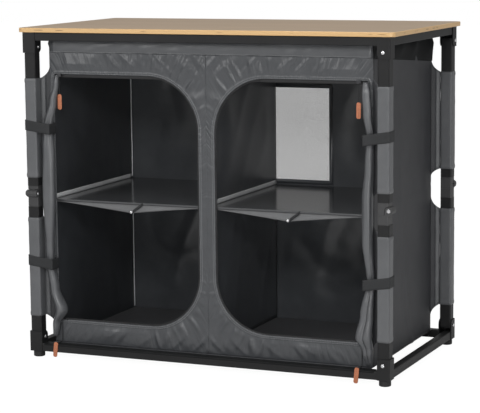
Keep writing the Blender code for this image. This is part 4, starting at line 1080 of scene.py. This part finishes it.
# Piping: a thin grey cord is sewn into each rear corner of the lining, and a flat grey binding runs
# along the walls at the level of the middle shelves.
PIPING = 0.0014
PIPING_X, PIPING_Y = HALF_LENGTH - 0.0038, HALF_DEPTH - 0.0042
piping_grey = woven("grey_piping", (0.66, 0.67, 0.68), (0.54, 0.55, 0.56), 0.5)
for name, side in SIDES:
    for part, low_z, high_z in (("lower", 0.044, SHELF_Z - 0.012), ("upper", SHELF_Z + 0.004, SEAM_Z - 0.004)):
        rows = []
        for z in spread(low_z, high_z, 40):
            x = side * (PIPING_X + 0.0008 * ripple((0, 0, z), 14.0, 60))
            angles = [2 * math.pi * i / 10 for i in range(10)]
            rows.append([(x + PIPING * math.cos(a), PIPING_Y + PIPING * math.sin(a), z) for a in angles])
        piping = cloth(f"{name}_{part}_corner_piping", rows, 0.0005, piping_grey, closed=True)
        sewn_on(piping, "fabric")
    for part, wall_x, inward in (("wall", side * (HALF_LENGTH - 0.0022), -side), ("divider", side * 0.0022, side)):
        rows = []
        for z in spread(SHELF_Z + 0.0006, SHELF_Z + 0.0110, 3):
            x = wall_x + inward * 0.001 * (1 - (z - SHELF_Z) / 0.010)
            rows.append([(x, y, z) for y in spread(PANEL_Y + 0.008, HALF_DEPTH - 0.006, 30)])
        band = cloth(f"{name}_{part}_shelf_binding", rows, 0.0010, piping_grey)
        hang(band, "stretched", [name + "_end_wall"], **SHELF_FOLD)

# Zip pulls: each slider has a black cord with a tan leather tab, folded over the cord and stitched. The
# lower two cords lie over the front rail, so that their tabs hang in front of it.
zip_metal = finish("zip_metal", (0.085, 0.085, 0.09), 0.34, 1.0)
grain(zip_metal, 300, 0.2, 0.0003)
leather = finish("tan_leather", (0.44, 0.155, 0.075), 0.62)
hide = grain(leather, 420, 0.35, 0.0004, detail=6.0)
tinted(leather, ramp(leather, hide, (0.3, (0.36, 0.12, 0.058)), (0.7, (0.50, 0.18, 0.088))))
cord_black = finish("black_cord", (0.012, 0.012, 0.013), 0.7)
grain(cord_black, 1200, 0.5, 0.0004)
EYE_Y = -0.2197
RAIL_OVER, CORD_BEND = 0.0368, 0.004
TAB_LENGTH, TAB_HALF, TAB_THICK = 0.037, 0.0054, 0.0019


def leather_tab(name, top, lean):
    """A rounded leather strip whose upper end is at a point, leaning sideways by an angle."""
    bpy.ops.mesh.primitive_cube_add(size=1, location=(0, 0, 0))
    tab = bpy.context.active_object
    tab.name = name
    tab.data.transform(Matrix.Diagonal((2 * TAB_HALF, TAB_THICK, TAB_LENGTH, 1)))
    bpy.ops.object.mode_set(mode="EDIT")
    bm = bmesh.from_edit_mesh(tab.data)
    for edge in bm.edges:
        a, b = edge.verts
        edge.select = abs(a.co.y - b.co.y) > TAB_THICK / 2
    bmesh.update_edit_mesh(tab.data)
    bpy.ops.mesh.bevel(offset=TAB_HALF * 0.75, segments=5)
    bpy.ops.mesh.select_all(action="SELECT")
    bpy.ops.mesh.bevel(offset=0.0004, segments=2, affect="EDGES", clamp_overlap=True)
    bpy.ops.object.mode_set(mode="OBJECT")
    bpy.ops.object.shade_smooth_by_angle(angle=math.radians(40))
    hung = Matrix.Translation(Vector(top)) @ Matrix.Rotation(lean, 4, "Y")
    hung = hung @ Matrix.Translation((0, 0, -TAB_LENGTH / 2))
    tab.data.transform(hung)
    tab.data.materials.append(leather)
    tab.select_set(False)
    return tab


PULLS = (("left_upper", 0.0), ("right_upper", 0.02), ("left_lower", 0.10), ("right_lower", 0.10))
for name, lean in PULLS:
    dress(zip_metal, name + "_zip_slider")
    slider_low, slider_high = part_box(name + "_zip_slider")
    puller_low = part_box(name + "_puller")[0]
    x = (slider_low.x + slider_high.x) / 2
    exit_point = Vector((x, EYE_Y, slider_low.z - 0.0003))
    if "upper" in name:
        tab_top = Vector((x, EYE_Y, puller_low.z + TAB_LENGTH))
        route = [exit_point.lerp(tab_top - Vector((0, 0, 0.003)), i / 14) for i in range(15)]
    else:
        tab_top = Vector((x, puller_low.y + TAB_THICK / 2 + 0.0001, puller_low.z + TAB_LENGTH))
        route = [exit_point.lerp(Vector((x, EYE_Y, RAIL_OVER + CORD_BEND)), i / 8) for i in range(9)]
        for i in range(1, 6):
            angle = math.pi / 2 * i / 5
            back, down = CORD_BEND * (1 - math.cos(angle)), CORD_BEND * (1 - math.sin(angle))
            route.append(Vector((x, EYE_Y - back, RAIL_OVER + down)))
        route += [Vector((x, mix(EYE_Y - CORD_BEND, tab_top.y, i / 8), RAIL_OVER)) for i in range(1, 8)]
    length = sum((b - a).length for a, b in zip(route, route[1:]))
    curve = bpy.data.curves.new(name + "_pull_cord", "CURVE")
    curve.dimensions = "3D"
    curve.bevel_depth = 0.0008
    curve.bevel_resolution = 3
    curve.use_fill_caps = True
    spline = curve.splines.new("POLY")
    spline.points.add(len(route) - 1)
    for spot, at in zip(spline.points, route):
        spot.co = (*at, 1)
    pull_cord = placed(name + "_pull_cord", curve)
    curve.materials.append(cord_black)
    tab = leather_tab(name + "_leather_tab", tab_top, lean)
    body = name + "_pull"
    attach(pull_cord, body)
    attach(tab, body)
    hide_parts(name + "_puller")
    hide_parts(name + "_puller")
